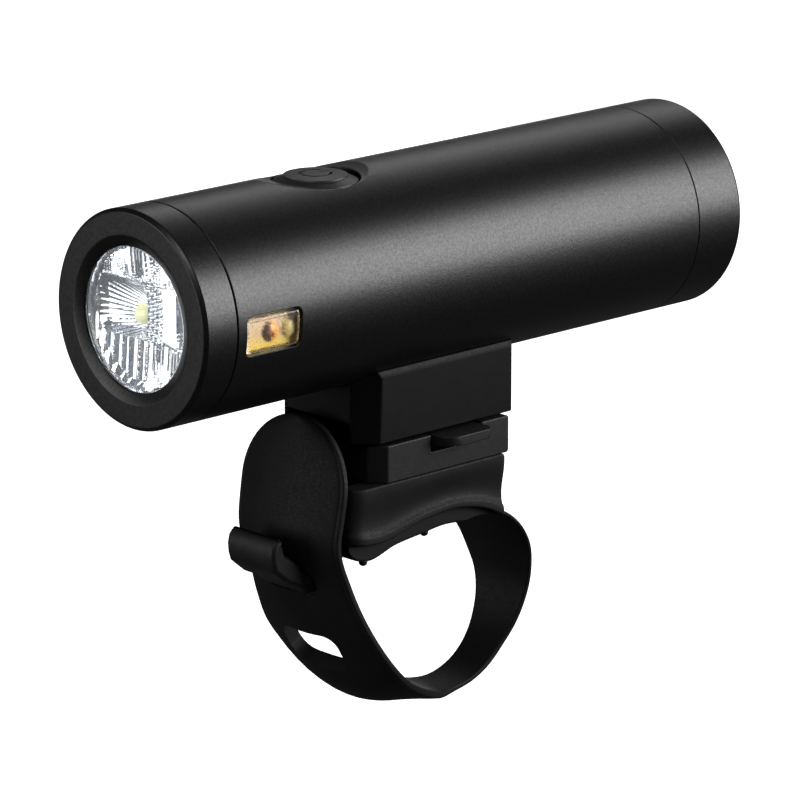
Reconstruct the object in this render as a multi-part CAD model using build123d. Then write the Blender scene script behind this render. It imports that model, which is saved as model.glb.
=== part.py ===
from build123d import *
import math
import os

# Handlebar bike light: a cylindrical lamp that slides onto a bracket, which a rubber strap holds to the bar.
# Millimetres. The origin is the centre of the handlebar, +X runs along the bar, +Y to the rear, +Z up.

# Handlebar and rubber strap
bar_radius = 12.7
strap_thickness = 1.1
strap_half_width = 11.8
strap_stand_off = 14.2
strap_crown_thickness = 3.2
strap_edge_thickness = 0.9
loop_crown_radius = 41.0
loop_low_angle = -60.0
loop_high_angle = 72.0
strap_cup_wall = 2.5
tongue_half_width = 10.3
tongue_end_height = 9.9
tongue_bulge = 0.6
tongue_lean = 0.165
tongue_rise = 9.25
waist_drop = 7.2
slot_width = 11.0
slot_height = 3.6
free_slot_height = 6.6
free_slot_angle = -173.5
free_slot_tilt = 33.5

# Rubber saddle, between the bar and the bracket's base
saddle_height = 8.55
saddle_half_width = 9.7
saddle_front_reach = 12.9
saddle_rear = 4.6
saddle_edge_round = 1.2
saddle_front_round = 3.0
saddle_rear_round = 1.0
saddle_arch_rise = 2.3
saddle_lip = 0.9
pad_half_width = 8.4
pad_setback = 0.8
tongue_gap = 1.5

# Bracket base with its rail
base_thickness = 5.35
base_half_width = 9.7
base_front = -20.7
base_rear = 5.2
base_front_corner = 2.1
base_rear_round = 0.8
rail_neck_half_width = 4.0
rail_neck_height = 1.75
rail_head_half_width = 6.0
rail_head_height = 1.15
rail_front = -20.0
rail_rear = 3.5
rail_clearance = 0.25
foot_gap = 0.4

# Hook for the strap, on a plate under the base
hook_plate_thickness = 2.6
hook_plate_half_width = 6.5
hook_plate_rear = 0.6
hook_half_width = 4.8
hook_thickness = 2.4
hook_wall = 1.0
# the finger's front, its head and its top, as steps in Y and Z from the middle of the strap's slot
hook_outline = (
    (-1.6, -1.3),
    (-3.1, -0.1),
    (-5.4, 1.0),
    (-7.0, 2.3),
    (-8.0, 3.4),
    (-8.28, 5.5),
    (-7.8, 7.1),
    (-6.9, 7.65),
    (-6.3, 7.0),
    (-6.0, 5.2),
    (-4.4, 4.1),
    (-3.0, 3.1),
    (-1.9, 1.3),
)

# Screws
screw_shank_radius = 1.25
screw_head_radius = 2.2
screw_head_height = 1.3
base_screw_y = (-16.0, -1.5)
screw_bite = 1.9

# Release latch, hinged in the base along Y
latch_pin_x = 5.6
latch_pin_radius = 0.75
latch_pin_clearance = 0.05
latch_boss_wall = 0.7
latch_front = -10.0
latch_rear = -0.8
latch_thickness = 1.4
latch_reach = 12.7
latch_front_round = 2.8
latch_rear_round = 1.7
latch_side_gap = 0.3
latch_drop = 0.9
latch_top_gap = 0.1
tooth_height = 0.3
tooth_length = 3.0
tooth_setback = 1.6
spring_radius = 0.95
spring_wire = 0.3
spring_inset = 1.45
spring_turns = 3

# Lamp barrel and its ends, drawn from the lamp's own front face along its axis
barrel_radius = 15.0
barrel_wall = 1.5
lamp_length = 103.3
lamp_front = -56.5
bezel_length = 5.66
cap_length = 8.87
rim_chamfer = 0.5
fit_gap = 0.05

# Bezel and lens
lens_wall = 1.8
lens_lip = 1.8
bevel_width = 1.5
bevel_depth = 0.6
bezel_lip = 0.9
lens_boss = 0.35
lens_thickness = 0.6
seal_thickness = 0.2
spigot_length = 0.9

# Reflector and main LED
reflector_rim = 1.2
reflector_depth = 3.4
reflector_back_setback = 4.3
well_front_half_width = 8.6
well_front_half_height = 3.6
well_back_half = 2.2
flute_count = 11
flute_margin = 0.5
led_size = 2.8
led_height = 3.0
led_centre = (-0.6, 0.2)
led_board_setback = 1.9
led_board_thickness = 1.6
led_screw_setback = 1.8
led_screw_radius = 0.8
led_screw_head = 0.8
led_screw_head_radius = 1.2
led_screw_bite = 3.0

# Heat sink
sink_boss_gap = 1.3
sink_boss_length = 13.0
sink_flat_gap = 3.45
sink_flange_length = 2.8
lead_hole_radius = 1.5
lead_hole_height = 8.5

# Side windows
window_front = 7.36
window_length = 9.74
window_height = 5.4
window_centre_z = -1.0
window_round = 0.9
window_flange = 1.0
window_flange_wall = 0.7
side_board_thickness = 0.85
side_board_length = 7.6
side_board_height = 8.4
side_led_length = 2.6
side_led_height = 2.8
side_led_depth = 1.1
side_led_pitch = 3.4
side_led_first = 12.6

# Power button in its scalloped pocket
button_y = 33.6
button_radius = 5.9
button_bore_gap = 0.2
button_face_radius = 4.4
button_face_height = 14.8
button_step = 0.4
button_skirt_drop = 0.65
button_flange = 0.9
button_flange_height = 0.55
button_flange_gap = 0.15
button_travel = 0.4
pocket_depth = 1.28
pocket_radius = 31.0
pocket_shift = -0.6
symbol_radius = 2.1
symbol_groove = 0.45
symbol_depth = 0.25
symbol_mouth = 0.9
button_seal_wire = 0.4
button_seal_slack = 0.02

# Battery, its holder and the driver board
cell_surround = 4.35
charger_room = 13.85
cell_drop = 3.0
cell_edge_round = 0.6
cell_clearance = 0.25
holder_wall = 1.2
holder_relief_half_width = 3.2
contact_radius = 4.0
contact_thickness = 0.7
rear_contact_radius = 7.0
rear_contact_thickness = 0.5
board_inset = 3.9
board_thickness = 0.8
board_lift = 0.8
board_gap = 0.05
switch_size = 6.0
switch_height = 2.4
plunger_radius = 1.6
plunger_depth = 0.8
component_pitch = 10.5
driver_chip_size = 5.0
charge_chip_size = 4.0
chip_height = 0.9
inductor_size = 5.0
inductor_height = 3.0
capacitor_radius = 2.2
capacitor_height = 3.0
capacitor_offset = 3.4

# Rear cap and charging port
cap_end_wall = 2.2
cap_spigot_length = 4.0
cap_spigot_wall = 1.45
seal_wire_radius = 0.4
seal_groove_depth = 0.85
port_drop = 2.0
port_width = 8.94
port_height = 3.26
port_length = 7.35
port_wall = 0.3
port_tongue_width = 6.7
port_tongue_thickness = 0.7
port_tongue_setback = 1.6
port_board_thickness = 1.0
port_board_half_width = 8.0
ledge_height = 1.6
cover_width = 13.0
cover_height = 7.2
cover_thickness = 1.1
cover_corner = 1.4
cover_gap = 0.3
cover_plug_depth = 1.0
cover_plug_wall = 0.55
cover_lip_half_width = 1.6
cover_lip_height = 0.9
cover_lip_reach = 0.6
hinge_bead_radius = 0.4
hinge_bead_clearance = 0.05
anchor_height = 3.0
anchor_post_radius = 0.9

# Lamp foot, with the slot that takes the rail
foot_front = 33.7
foot_rear = 64.9
foot_height = 7.2
foot_half_width = 9.7
foot_base_half_width = 9.5
foot_shoulder = 1.1
foot_shoulder_inset = 0.5
foot_corner = 3.1
foot_screw_y = (40.5, 56.5)

# Longer than the part, for cuts that run right through it
beyond = 120.0

# Places worked out from the sizes
saddle_top = bar_radius + saddle_height
base_top = saddle_top + base_thickness
foot_bottom = base_top + foot_gap
foot_drop = barrel_radius + foot_height
lamp_axis_z = foot_bottom + foot_drop
rail_head_bottom = base_top + rail_neck_height
rail_top = rail_head_bottom + rail_head_height
saddle_front = -(bar_radius + saddle_front_reach)
tongue_inner = saddle_front - tongue_gap
tongue_top = saddle_top + tongue_rise
barrel_bore = barrel_radius - barrel_wall
barrel_start = bezel_length
barrel_end = lamp_length - cap_length
lens_radius = barrel_bore - lens_wall
opening_radius = lens_radius - lens_lip
bevel_radius = opening_radius + bevel_width
led_board_radius = lens_radius - led_board_setback
led_screw_offset = led_board_radius - led_screw_setback
reflector_back_radius = led_board_radius - reflector_back_setback
sink_boss_radius = barrel_bore - sink_boss_gap
sink_flat = barrel_bore - sink_flat_gap
cell_radius = barrel_bore - cell_surround
board_half_width = barrel_bore - board_inset
lens_front = bezel_lip + seal_thickness
reflector_front = lens_front + lens_thickness
reflector_back = reflector_front + reflector_depth
sink_front = reflector_back + led_board_thickness
sink_flange_front = sink_front + sink_boss_length
sink_rear = sink_flange_front + sink_flange_length
holder_front = sink_rear + fit_gap
cell_front = holder_front + holder_wall + contact_thickness
cell_rear = lamp_length - charger_room
holder_rear = cell_rear + rear_contact_thickness
board_bottom = cell_radius + cell_clearance + board_lift - cell_drop
board_top = board_bottom + board_thickness
cap_spigot_front = barrel_end - cap_spigot_length
capacitor_y = button_y + component_pitch
driver_chip_y = capacitor_y + component_pitch
inductor_y = driver_chip_y + component_pitch
charge_chip_y = inductor_y + component_pitch
in_row = Pos(0, lamp_front, lamp_axis_z)
os.makedirs("parts", exist_ok=True)


def block(x, y, z):
    """A box between the two ends given for each axis."""
    centre = Pos(sum(x) / 2, sum(y) / 2, sum(z) / 2)
    return centre * Box(x[1] - x[0], y[1] - y[0], z[1] - z[0])


def disc(radius, start, end):
    """A solid cylinder along Y."""
    return Pos(0, (start + end) / 2, 0) * Rot(90, 0, 0) * Cylinder(radius, end - start)


def tube(outer, inner, start, end):
    return disc(outer, start, end) - disc(inner, start - 1, end + 1)


def cone(front_radius, rear_radius, start, end):
    """A cone along Y from its front radius to its rear radius."""
    body = Cone(rear_radius, front_radius, end - start)
    return Pos(0, (start + end) / 2, 0) * Rot(90, 0, 0) * body


def rod(radius, x, y, low, high):
    """A vertical cylinder."""
    return Pos(x, y, (low + high) / 2) * Cylinder(radius, high - low)


def side_slab(outline, half_width):
    """Extrudes an outline of (y, z) points both ways along X."""
    face = Plane.YZ * make_face(Polyline(*outline, close=True))
    return extrude(face, amount=half_width, both=True)


def save(shape, name, colour):
    """Writes one sub-part, as one solid or as a group of separate ones."""
    solids = shape.solids()
    result = solids[0] if len(solids) == 1 else Compound(children=solids)
    result.label = name
    result.color = Color(*colour)
    export_step(result, f"parts/{name}.step")


black = (0.03, 0.03, 0.03)
steel = (0.6, 0.6, 0.62)
green = (0.05, 0.25, 0.12)
clear = (0.85, 0.9, 0.95)
amber = (0.85, 0.6, 0.1)


# Rubber strap: stations of its front run, from under the bar up to the hook's slot. Each has the angle
# round the bar, then its shares of the full stand-off from the bar, half width and crown thickness.
strap_stations = (
    (loop_low_angle, 0.0, 0.28, 0.38),
    (-72.0, 0.05, 0.282, 0.36),
    (-90.0, 0.079, 0.305, 0.375),
    (-100.0, 0.078, 0.39, 0.44),
    (-111.0, 0.071, 0.508, 0.59),
    (-119.0, 0.071, 0.6, 0.72),
    (-127.0, 0.092, 0.686, 0.86),
    (-135.0, 0.14, 0.763, 0.99),
    (-142.0, 0.194, 0.822, 1.22),
    (-150.0, 0.278, 0.894, 1.34),
    (-160.0, 0.401, 0.983, 1.3),
    (-174.0, 0.585, 0.99, 1.08),
    (-187.5, 0.8, 0.905, 1.0),
    (-197.0, 1.0, 0.85, 1.0),
)


def round_bar(angle, distance):
    """The (y, z) of a place given by its angle round the bar and its distance from the bar's centre."""
    turn = math.radians(angle)
    return distance * math.cos(turn), distance * math.sin(turn)


def strap_path():
    """The inner face of the front run as (y, z, half width, thickness), up to the tongue's top."""
    path = []
    for angle, off_share, width_share, crown_share in strap_stations:
        y, z = round_bar(angle, bar_radius + off_share * strap_stand_off)
        path.append((y, z, width_share * strap_half_width, crown_share * strap_crown_thickness))
    waist = saddle_top - waist_drop
    upper = (
        (waist, 0.976, 0.9),
        (tongue_top - tongue_end_height, 1.0, 0.81),
        (tongue_top, 1.0, 0.47),
    )
    for z, width_share, crown_share in upper:
        half_width = width_share * tongue_half_width
        y = tongue_inner - tongue_bulge + tongue_lean * (z - waist)
        path.append((y, z, half_width, crown_share * strap_crown_thickness))
    return path


def strap_section(path, index):
    """One cross-section of the front run: a cupped back, thin edges and a crowned face."""
    y, z, half_width, thickness = path[index]
    before = path[max(index - 1, 0)]
    after = path[min(index + 1, len(path) - 1)]
    along = Vector(0, after[0] - before[0], after[1] - before[1])
    if index == 0:
        along = Vector(0, z, -y)
    outward = Vector(0, -along.Z, along.Y).normalized()
    inner = Vector(0, y, z)
    side = Vector(half_width, 0, 0)
    edge = outward * strap_edge_thickness
    cup = outward * max(thickness - strap_cup_wall, 0.02)
    back = Line(inner - side + edge, inner - side)
    back += ThreePointArc(inner - side, inner + cup, inner + side)
    back += Line(inner + side, inner + side + edge)
    crown = ThreePointArc(inner + side + edge, inner + outward * thickness, inner - side + edge)
    return make_face(back + crown)


def strap_front():
    """The front run, with the tongue's end round when seen from the front."""
    path = strap_path()
    front = loft([strap_section(path, index) for index in range(len(path))], ruled=True)
    end_centre = tongue_top - tongue_end_height
    end = extrude(Plane.XZ * Ellipse(tongue_half_width, tongue_end_height), amount=beyond, both=True)
    straight = block((-beyond, beyond), (-beyond, beyond), (-beyond, end_centre))
    return front & (Pos(0, 0, end_centre) * end + straight)


def strap_rear():
    """The strap's rear run: a true cylinder round the bar, crowned outside and widening up to the saddle."""
    outer = bar_radius + strap_thickness
    half = 0.76 * strap_half_width
    drop = loop_crown_radius - math.sqrt(loop_crown_radius**2 - half**2)
    back = Polyline((-half, outer - drop), (-half, bar_radius), (half, bar_radius), (half, outer - drop))
    crown = ThreePointArc((half, outer - drop), (0, outer), (-half, outer - drop))
    section = Rot(loop_low_angle, 0, 0) * make_face(back + crown)
    ring = revolve(section, Axis.X, loop_high_angle - loop_low_angle)
    low, high = -1.1 * bar_radius, 1.15 * bar_radius
    places = (
        (0.27, low),
        (0.31, -0.7 * bar_radius),
        (0.41, -0.27 * bar_radius),
        (0.56, 0.2 * bar_radius),
        (0.66, 0.67 * bar_radius),
        (0.76, high),
    )
    right = Spline(*[(share * strap_half_width, z) for share, z in places])
    left = Spline(*[(-share * strap_half_width, z) for share, z in places])
    ends = Line(right @ 0, left @ 0) + Line(right @ 1, left @ 1)
    outline = extrude(Plane.XZ * make_face(right + left + ends), amount=beyond, both=True)
    return ring & outline


# The slots follow the strap: the first takes the hook, and the second is free below it.
hook_y, slot_z = round_bar(strap_stations[-1][0], bar_radius + strap_stand_off)
slot_y = hook_y - strap_crown_thickness / 2
free_stand_off = strap_stations[-3][1] * strap_stand_off + strap_crown_thickness / 2
free_slot_y, free_slot_z = round_bar(free_slot_angle, bar_radius + free_stand_off)


def slot_cut(y, z, height, tilt):
    """A slot through the strap, with round corners."""
    cut = Box(slot_width, 4 * strap_crown_thickness, height)
    cut = fillet(cut.edges().filter_by(Axis.Y), height * 0.35)
    return Pos(0, y, z) * Rot(tilt, 0, 0) * cut


def saddle():
    """The rubber block on the bar: a full-width block over a narrower grip pad."""
    arch_top = bar_radius + saddle_arch_rise
    mouth = math.sqrt(bar_radius**2 - saddle_rear**2)
    under = Spline(
        (saddle_front, bar_radius + saddle_lip),
        (0.8 * saddle_front, bar_radius + 0.28 * saddle_lip),
        (0.42 * saddle_front, bar_radius + 0.87 * saddle_arch_rise),
        (0.2 * saddle_front, arch_top),
        (0.25 * saddle_rear, bar_radius + 0.4 * saddle_arch_rise),
        (saddle_rear, mouth),
    )
    rim = Polyline(
        (saddle_rear, mouth),
        (saddle_rear, saddle_top - saddle_edge_round),
        (saddle_rear - saddle_edge_round, saddle_top),
        (saddle_front + saddle_edge_round, saddle_top),
        (saddle_front, saddle_top - saddle_edge_round),
        (saddle_front, bar_radius + saddle_lip),
    )
    block_face = Plane.YZ * make_face(under + rim)
    body = extrude(block_face, amount=saddle_half_width, both=True)
    uprights = body.edges().filter_by(Axis.Z).sort_by(Axis.Y)
    body = fillet(uprights[:2], saddle_front_round)
    body = fillet(body.edges().filter_by(Axis.Z).sort_by(Axis.Y)[-2:], saddle_rear_round)
    pad_front = saddle_front + pad_setback
    pad_edge = bar_radius - 0.6 * saddle_lip
    pad_under = Spline(
        (pad_front, pad_edge),
        (pad_front + 0.7, bar_radius - 1.5 * saddle_lip),
        (0.84 * saddle_front, bar_radius - 2.6 * saddle_lip),
        (0.61 * saddle_front, bar_radius - 1.2 * saddle_lip),
        (0.39 * saddle_front, bar_radius - 0.6 * saddle_lip),
        (0.29 * saddle_front, bar_radius - 0.2 * saddle_lip),
        (saddle_rear, mouth - saddle_lip),
    )
    pad_top = Polyline(
        (saddle_rear, mouth - saddle_lip),
        (saddle_rear, mouth + 2 * saddle_lip),
        (0.42 * saddle_front, arch_top + 0.5 * saddle_lip),
        (pad_front, bar_radius + 2 * saddle_lip),
        (pad_front, pad_edge),
    )
    pad = extrude(Plane.YZ * make_face(pad_under + pad_top), amount=pad_half_width, both=True)
    bar = Rot(0, 90, 0) * Cylinder(bar_radius, beyond)
    return body + (pad - bar)


def hook_plate():
    """The plate under the base, its arm down through the saddle, and the finger with its rounded head."""
    back = saddle_front + hook_wall
    arm_rear = back + hook_thickness
    half = hook_thickness / 2 + 0.1
    depth = hook_thickness
    outline = (
        (arm_rear, saddle_top),
        (arm_rear, slot_z + 1.1 * depth),
        (arm_rear - 0.5 * depth, slot_z - half + 0.3 * depth),
        (arm_rear - 1.33 * depth, slot_z - half),
        *[(slot_y + y, slot_z + z) for y, z in hook_outline],
        (back - 0.62 * depth, slot_z + half),
        (back, slot_z + 1.4 * depth),
        (back, saddle_top),
    )
    finger = side_slab(outline, hook_half_width)
    plate = block(
        (-hook_plate_half_width, hook_plate_half_width),
        (back, hook_plate_rear),
        (saddle_top - hook_plate_thickness, saddle_top),
    )
    return plate + finger


def base_screw(y):
    """A pan-head screw from the rail's top down into the hook's plate."""
    head = rod(screw_head_radius, 0, y, rail_top - screw_head_height, rail_top)
    shank = rod(screw_shank_radius, 0, y, saddle_top - screw_bite, rail_top - screw_head_height)
    drive = Pos(0, y, rail_top) * Box(2.2, 0.5, 1.0) + Pos(0, y, rail_top) * Box(0.5, 2.2, 1.0)
    return head + shank - drive


def screw_hole(y):
    head = rod(screw_head_radius, 0, y, rail_top - screw_head_height, rail_top + 1)
    return head + rod(screw_shank_radius, 0, y, saddle_top - screw_bite, rail_top)


latch_boss_radius = latch_pin_radius + latch_pin_clearance + latch_boss_wall
latch_top = base_top - latch_top_gap
latch_pin_z = latch_top - latch_boss_radius
latch_under = latch_top - latch_thickness
latch_floor = latch_under - latch_drop
spring_floor = latch_floor - 1.0
spring_x = base_half_width - spring_inset
latch_middle = (latch_front + latch_rear) / 2


def mount_base():
    plate = block((-base_half_width, base_half_width), (base_front, base_rear), (saddle_top, base_top))
    corners = plate.edges().filter_by(Axis.Z).sort_by(Axis.Y)
    plate = chamfer(corners[:2], base_front_corner)
    rear_edges = plate.edges().group_by(Axis.Y)[-1]
    plate = fillet(rear_edges, base_rear_round)
    neck_x = (-rail_neck_half_width, rail_neck_half_width)
    head_x = (-rail_head_half_width, rail_head_half_width)
    rail_y = (rail_front, rail_rear)
    neck = block(neck_x, rail_y, (base_top - 0.5, rail_head_bottom))
    head = block(head_x, rail_y, (rail_head_bottom, rail_top))
    result = plate + neck + head
    pocket_y = (latch_front - latch_side_gap, latch_rear + latch_side_gap)
    inner = latch_pin_x - latch_boss_radius - latch_side_gap
    pocket = block((inner, base_half_width + 1), pocket_y, (latch_floor, base_top + 0.01))
    result -= pocket & block((rail_neck_half_width, beyond), pocket_y, (0, beyond))
    outer = latch_pin_x + latch_boss_radius + 0.2
    low = latch_pin_z - latch_boss_radius - 0.3
    result -= block((inner, outer), pocket_y, (low, base_top))
    result -= rod(spring_radius + 0.15, spring_x, latch_middle, spring_floor, latch_floor + 0.1)
    pin_y = (pocket_y[0] - 1.5, pocket_y[1] + 1.5)
    result -= Pos(latch_pin_x, 0, latch_pin_z) * disc(latch_pin_radius, *pin_y)
    for y in base_screw_y:
        result -= screw_hole(y)
    return result


def release_latch():
    """The lever: its boss on the pin, the flat arm, the rounded tab outside and the low tooth."""
    boss = Pos(latch_pin_x, 0, latch_pin_z) * disc(latch_boss_radius, latch_front, latch_rear)
    arm = block((latch_pin_x, latch_reach), (latch_front, latch_rear), (latch_under, latch_top))
    tips = arm.edges().filter_by(Axis.Z).sort_by(Axis.X)[-2:]
    arm = fillet(tips.sort_by(Axis.Y)[0], latch_front_round)
    tips = arm.edges().filter_by(Axis.Z).sort_by(Axis.X)[-2:]
    arm = fillet(tips.sort_by(Axis.Y)[-1], latch_rear_round)
    tooth_y = (latch_middle - tooth_length / 2, latch_middle + tooth_length / 2)
    outline = (
        (latch_pin_x + latch_boss_radius, latch_top - 0.2),
        (base_half_width - tooth_setback, latch_top - 0.2),
        (base_half_width - tooth_setback - 0.6, latch_top + tooth_height),
        (latch_pin_x + latch_boss_radius, latch_top + tooth_height),
    )
    face = Plane.XZ.offset(-tooth_y[0]) * make_face(Polyline(*outline, close=True))
    tooth = extrude(face, amount=-tooth_length)
    bore = disc(latch_pin_radius + latch_pin_clearance, -beyond, beyond)
    return boss + arm + tooth - Pos(latch_pin_x, 0, latch_pin_z) * bore


def latch_spring():
    """A conical stack of flat turns under the lever, joined by a post."""
    height = latch_under - spring_floor
    pitch = (height - spring_wire) / spring_turns
    path = Helix(pitch=pitch, height=pitch * spring_turns, radius=spring_radius - spring_wire / 2)
    start = path @ 0
    section = Plane(origin=start, z_dir=path % 0) * Circle(spring_wire / 2)
    coil = sweep(section, path=path, is_frenet=True)
    return Pos(spring_x, latch_middle, spring_floor + spring_wire / 2) * coil


def bezel():
    ring = disc(barrel_radius, 0, bezel_length)
    ring = chamfer(ring.edges().group_by(Axis.Y)[0], rim_chamfer)
    ring += disc(barrel_bore - fit_gap, bezel_length - 0.5, bezel_length + spigot_length)
    ring -= cone(bevel_radius, opening_radius, 0, bevel_depth)
    ring -= disc(opening_radius, -1, bezel_lip + 1)
    return ring - disc(lens_radius + fit_gap, bezel_lip, barrel_radius)


def front_lens():
    """A clear disc whose middle stands into the bezel's opening."""
    boss = disc(opening_radius - fit_gap, lens_front - lens_boss, lens_front)
    return disc(lens_radius, lens_front, reflector_front) + boss


def reflector():
    """A shallow bright dish: fluted above and below a wide well, which ends at the LED."""
    rim = disc(lens_radius, reflector_front, reflector_front + reflector_rim)
    bowl = cone(lens_radius - 0.4, reflector_back_radius, reflector_front + reflector_rim, reflector_back)
    body = rim + bowl
    front = Plane(origin=(0, reflector_front - 0.01, 0), z_dir=(0, 1, 0))
    back = Plane(origin=(0, reflector_back + 0.01, 0), z_dir=(0, 1, 0))
    well = loft([
        front * Rectangle(2 * well_front_half_width, 2 * well_front_half_height),
        back * Rectangle(2 * well_back_half, 2 * well_back_half),
    ])
    body -= well
    flute_pitch = 2 * (lens_radius - 1.5) / flute_count
    for side in (-1, 1):
        for number in range(flute_count):
            x = (number - (flute_count - 1) / 2) * flute_pitch
            reach = math.sqrt(max((lens_radius - 1.0) ** 2 - x**2, 1.0))
            beside_well = abs(x) < well_front_half_width + flute_margin
            low = well_front_half_height + flute_margin if beside_well else flute_margin
            if reach - low < 1.0:
                continue
            flute = Cylinder(0.42 * flute_pitch, reach - low)
            body -= Pos(x, reflector_front, side * (low + reach) / 2) * flute
    return body


def led_screw_places():
    return [(side * led_screw_offset, 0) for side in (-1, 1)]


def led_board():
    board = disc(led_board_radius, reflector_back, sink_front)
    for x, z in led_screw_places():
        hole = disc(led_screw_radius, reflector_back - 1, sink_front + 1)
        hole += disc(led_screw_head_radius, reflector_back - 1, reflector_back + led_screw_head)
        board -= Pos(x, 0, z) * hole
    return board


def led_screws():
    screws = []
    for x, z in led_screw_places():
        head = disc(led_screw_head_radius, reflector_back, reflector_back + led_screw_head)
        shank = disc(led_screw_radius, reflector_back + led_screw_head, sink_front + led_screw_bite)
        screws.append(Pos(x, 0, z) * (head + shank))
    return Compound(children=[s.solid() for s in screws])


def heat_sink():
    boss = disc(sink_boss_radius, sink_front, sink_flange_front)
    boss &= block((-sink_flat, sink_flat), (0, beyond), (-beyond, beyond))
    result = boss + disc(barrel_bore - fit_gap, sink_flange_front, sink_rear)
    for x, z in led_screw_places():
        result -= Pos(x, 0, z) * disc(led_screw_radius, sink_front - 1, sink_front + led_screw_bite)
    # a hole for the leads to the LED boards
    return result - Pos(0, 0, lead_hole_height) * disc(lead_hole_radius, sink_front - 1, sink_rear + 1)


def window_prism(grow, front, side):
    """The window's outline as a prism through the barrel's wall on one side."""
    length = window_length + 2 * grow
    prism = Box(barrel_radius, length, window_height + 2 * grow)
    prism = fillet(prism.edges().filter_by(Axis.X), window_round + grow)
    return Pos(side * barrel_radius, front + window_length / 2, window_centre_z) * prism


def side_window(side):
    plug = window_prism(-fit_gap, window_front, side)
    plug &= tube(barrel_radius - 0.03, barrel_bore - 0.2, 0, beyond)
    flange_front = window_front - 0.3
    flange_rear = window_front + window_length + window_flange
    flange = tube(barrel_bore - fit_gap, barrel_bore - window_flange_wall, flange_front, flange_rear)
    flange &= window_prism(window_flange, window_front, side)
    return plug + flange


def side_board(side):
    x = (side * sink_flat, side * (sink_flat + side_board_thickness))
    rear = sink_flange_front - 0.1
    low = window_centre_z - side_board_height / 2
    return block((min(x), max(x)), (rear - side_board_length, rear), (low, low + side_board_height))


def side_leds():
    leds = []
    for side in (-1, 1):
        inner = sink_flat + side_board_thickness
        x = (side * inner, side * (inner + side_led_depth))
        for number in range(2):
            y = side_led_first + number * side_led_pitch
            leds.append(block(
                (min(x), max(x)),
                (y - side_led_length / 2, y + side_led_length / 2),
                (window_centre_z - side_led_height / 2, window_centre_z + side_led_height / 2),
            ))
    return Compound(children=[led.solid() for led in leds])


button_bore = button_radius + button_bore_gap
flange_radius = button_bore + button_flange - button_bore_gap
flange_top = math.sqrt(barrel_bore**2 - flange_radius**2) - button_flange_gap
flange_bottom = flange_top - button_flange_height
switch_top = board_top + switch_height


def barrel():
    shell = tube(barrel_radius, barrel_bore, barrel_start, barrel_end)
    pocket_centre = barrel_radius - pocket_depth + pocket_radius
    scallop = Rot(0, 90, 0) * Cylinder(pocket_radius, 2 * barrel_radius)
    shell -= Pos(0, button_y + pocket_shift, pocket_centre) * scallop
    shell -= rod(button_bore, 0, button_y, 0, barrel_radius + 1)
    for side in (-1, 1):
        shell -= window_prism(0, window_front, side)
    for y in foot_screw_y:
        shell -= rod(screw_shank_radius, 0, y, -barrel_radius - 1, -barrel_bore + 2)
    return shell


def power_button():
    """A round face over a sloping skirt, with a flange, a groove for its seal and a power symbol."""
    skirt_top = button_face_height - button_step
    skirt = Cone(button_radius, button_face_radius + 0.1, button_skirt_drop)
    cap = rod(button_radius, 0, button_y, flange_bottom, skirt_top - button_skirt_drop)
    cap += Pos(0, button_y, skirt_top - button_skirt_drop / 2) * skirt
    cap += rod(button_face_radius, 0, button_y, skirt_top - 0.1, button_face_height)
    cap += rod(flange_radius, 0, button_y, flange_bottom, flange_top)
    groove_low = flange_top + 0.1
    groove = rod(button_radius + 1, 0, button_y, groove_low, groove_low + 2 * button_seal_wire)
    groove -= rod(button_bore - 2 * button_seal_wire - button_seal_slack, 0, button_y, 0, beyond)
    cap -= groove
    floor = button_face_height - symbol_depth
    half = symbol_groove / 2
    arc = rod(symbol_radius + half, 0, button_y, floor, beyond)
    arc -= rod(symbol_radius - half, 0, button_y, 0, beyond)
    arc -= block((-symbol_mouth, symbol_mouth), (button_y, button_y + button_face_radius), (0, beyond))
    bar_y = (button_y + 0.3 * symbol_radius, button_y + 1.3 * symbol_radius)
    bar = block((-half, half), bar_y, (floor, beyond))
    return cap - arc - bar


def button_seal():
    z = flange_top + 0.1 + button_seal_wire
    middle = button_bore - button_seal_wire - button_seal_slack
    return Pos(0, button_y, z) * Torus(middle, button_seal_wire - button_seal_slack)


def switch_body():
    body = block(
        (-switch_size / 2, switch_size / 2),
        (button_y - switch_size / 2, button_y + switch_size / 2),
        (board_top, switch_top),
    )
    return body - rod(plunger_radius + 0.1, 0, button_y, switch_top - plunger_depth, switch_top + 1)


def switch_plunger():
    low = switch_top - plunger_depth + button_travel + 0.05
    return rod(plunger_radius, 0, button_y, low, flange_bottom)


def main_board():
    x = (-board_half_width, board_half_width)
    return block(x, (holder_front, holder_rear), (board_bottom, board_top))


def chip(size, height, y):
    """A square component on the driver board."""
    return block((-size / 2, size / 2), (y - size / 2, y + size / 2), (board_top, board_top + height))


def capacitors():
    top = board_top + capacitor_height
    places = (-capacitor_offset, capacitor_offset)
    cans = [rod(capacitor_radius, x, capacitor_y, board_top, top) for x in places]
    return Compound(children=[can.solid() for can in cans])


def cell_holder():
    """A cradle that fills the barrel under the driver board, bored for the cell."""
    body = disc(barrel_bore - 4 * fit_gap, holder_front, holder_rear)
    body &= block((-beyond, beyond), (0, beyond), (-beyond, board_bottom - board_gap))
    bore_start = holder_front + holder_wall
    body -= Pos(0, 0, -cell_drop) * disc(cell_radius + cell_clearance, bore_start, holder_rear + 1)
    relief = holder_relief_half_width
    body -= block((-relief, relief), (0, beyond), (-beyond, holder_wall - cell_drop - cell_radius))
    return body


def battery_cell():
    cell = Pos(0, 0, -cell_drop) * disc(cell_radius, cell_front, cell_rear)
    return fillet(cell.edges(), cell_edge_round)


def contact(radius, start, end):
    return Pos(0, 0, -cell_drop) * disc(radius, start, end)


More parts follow.
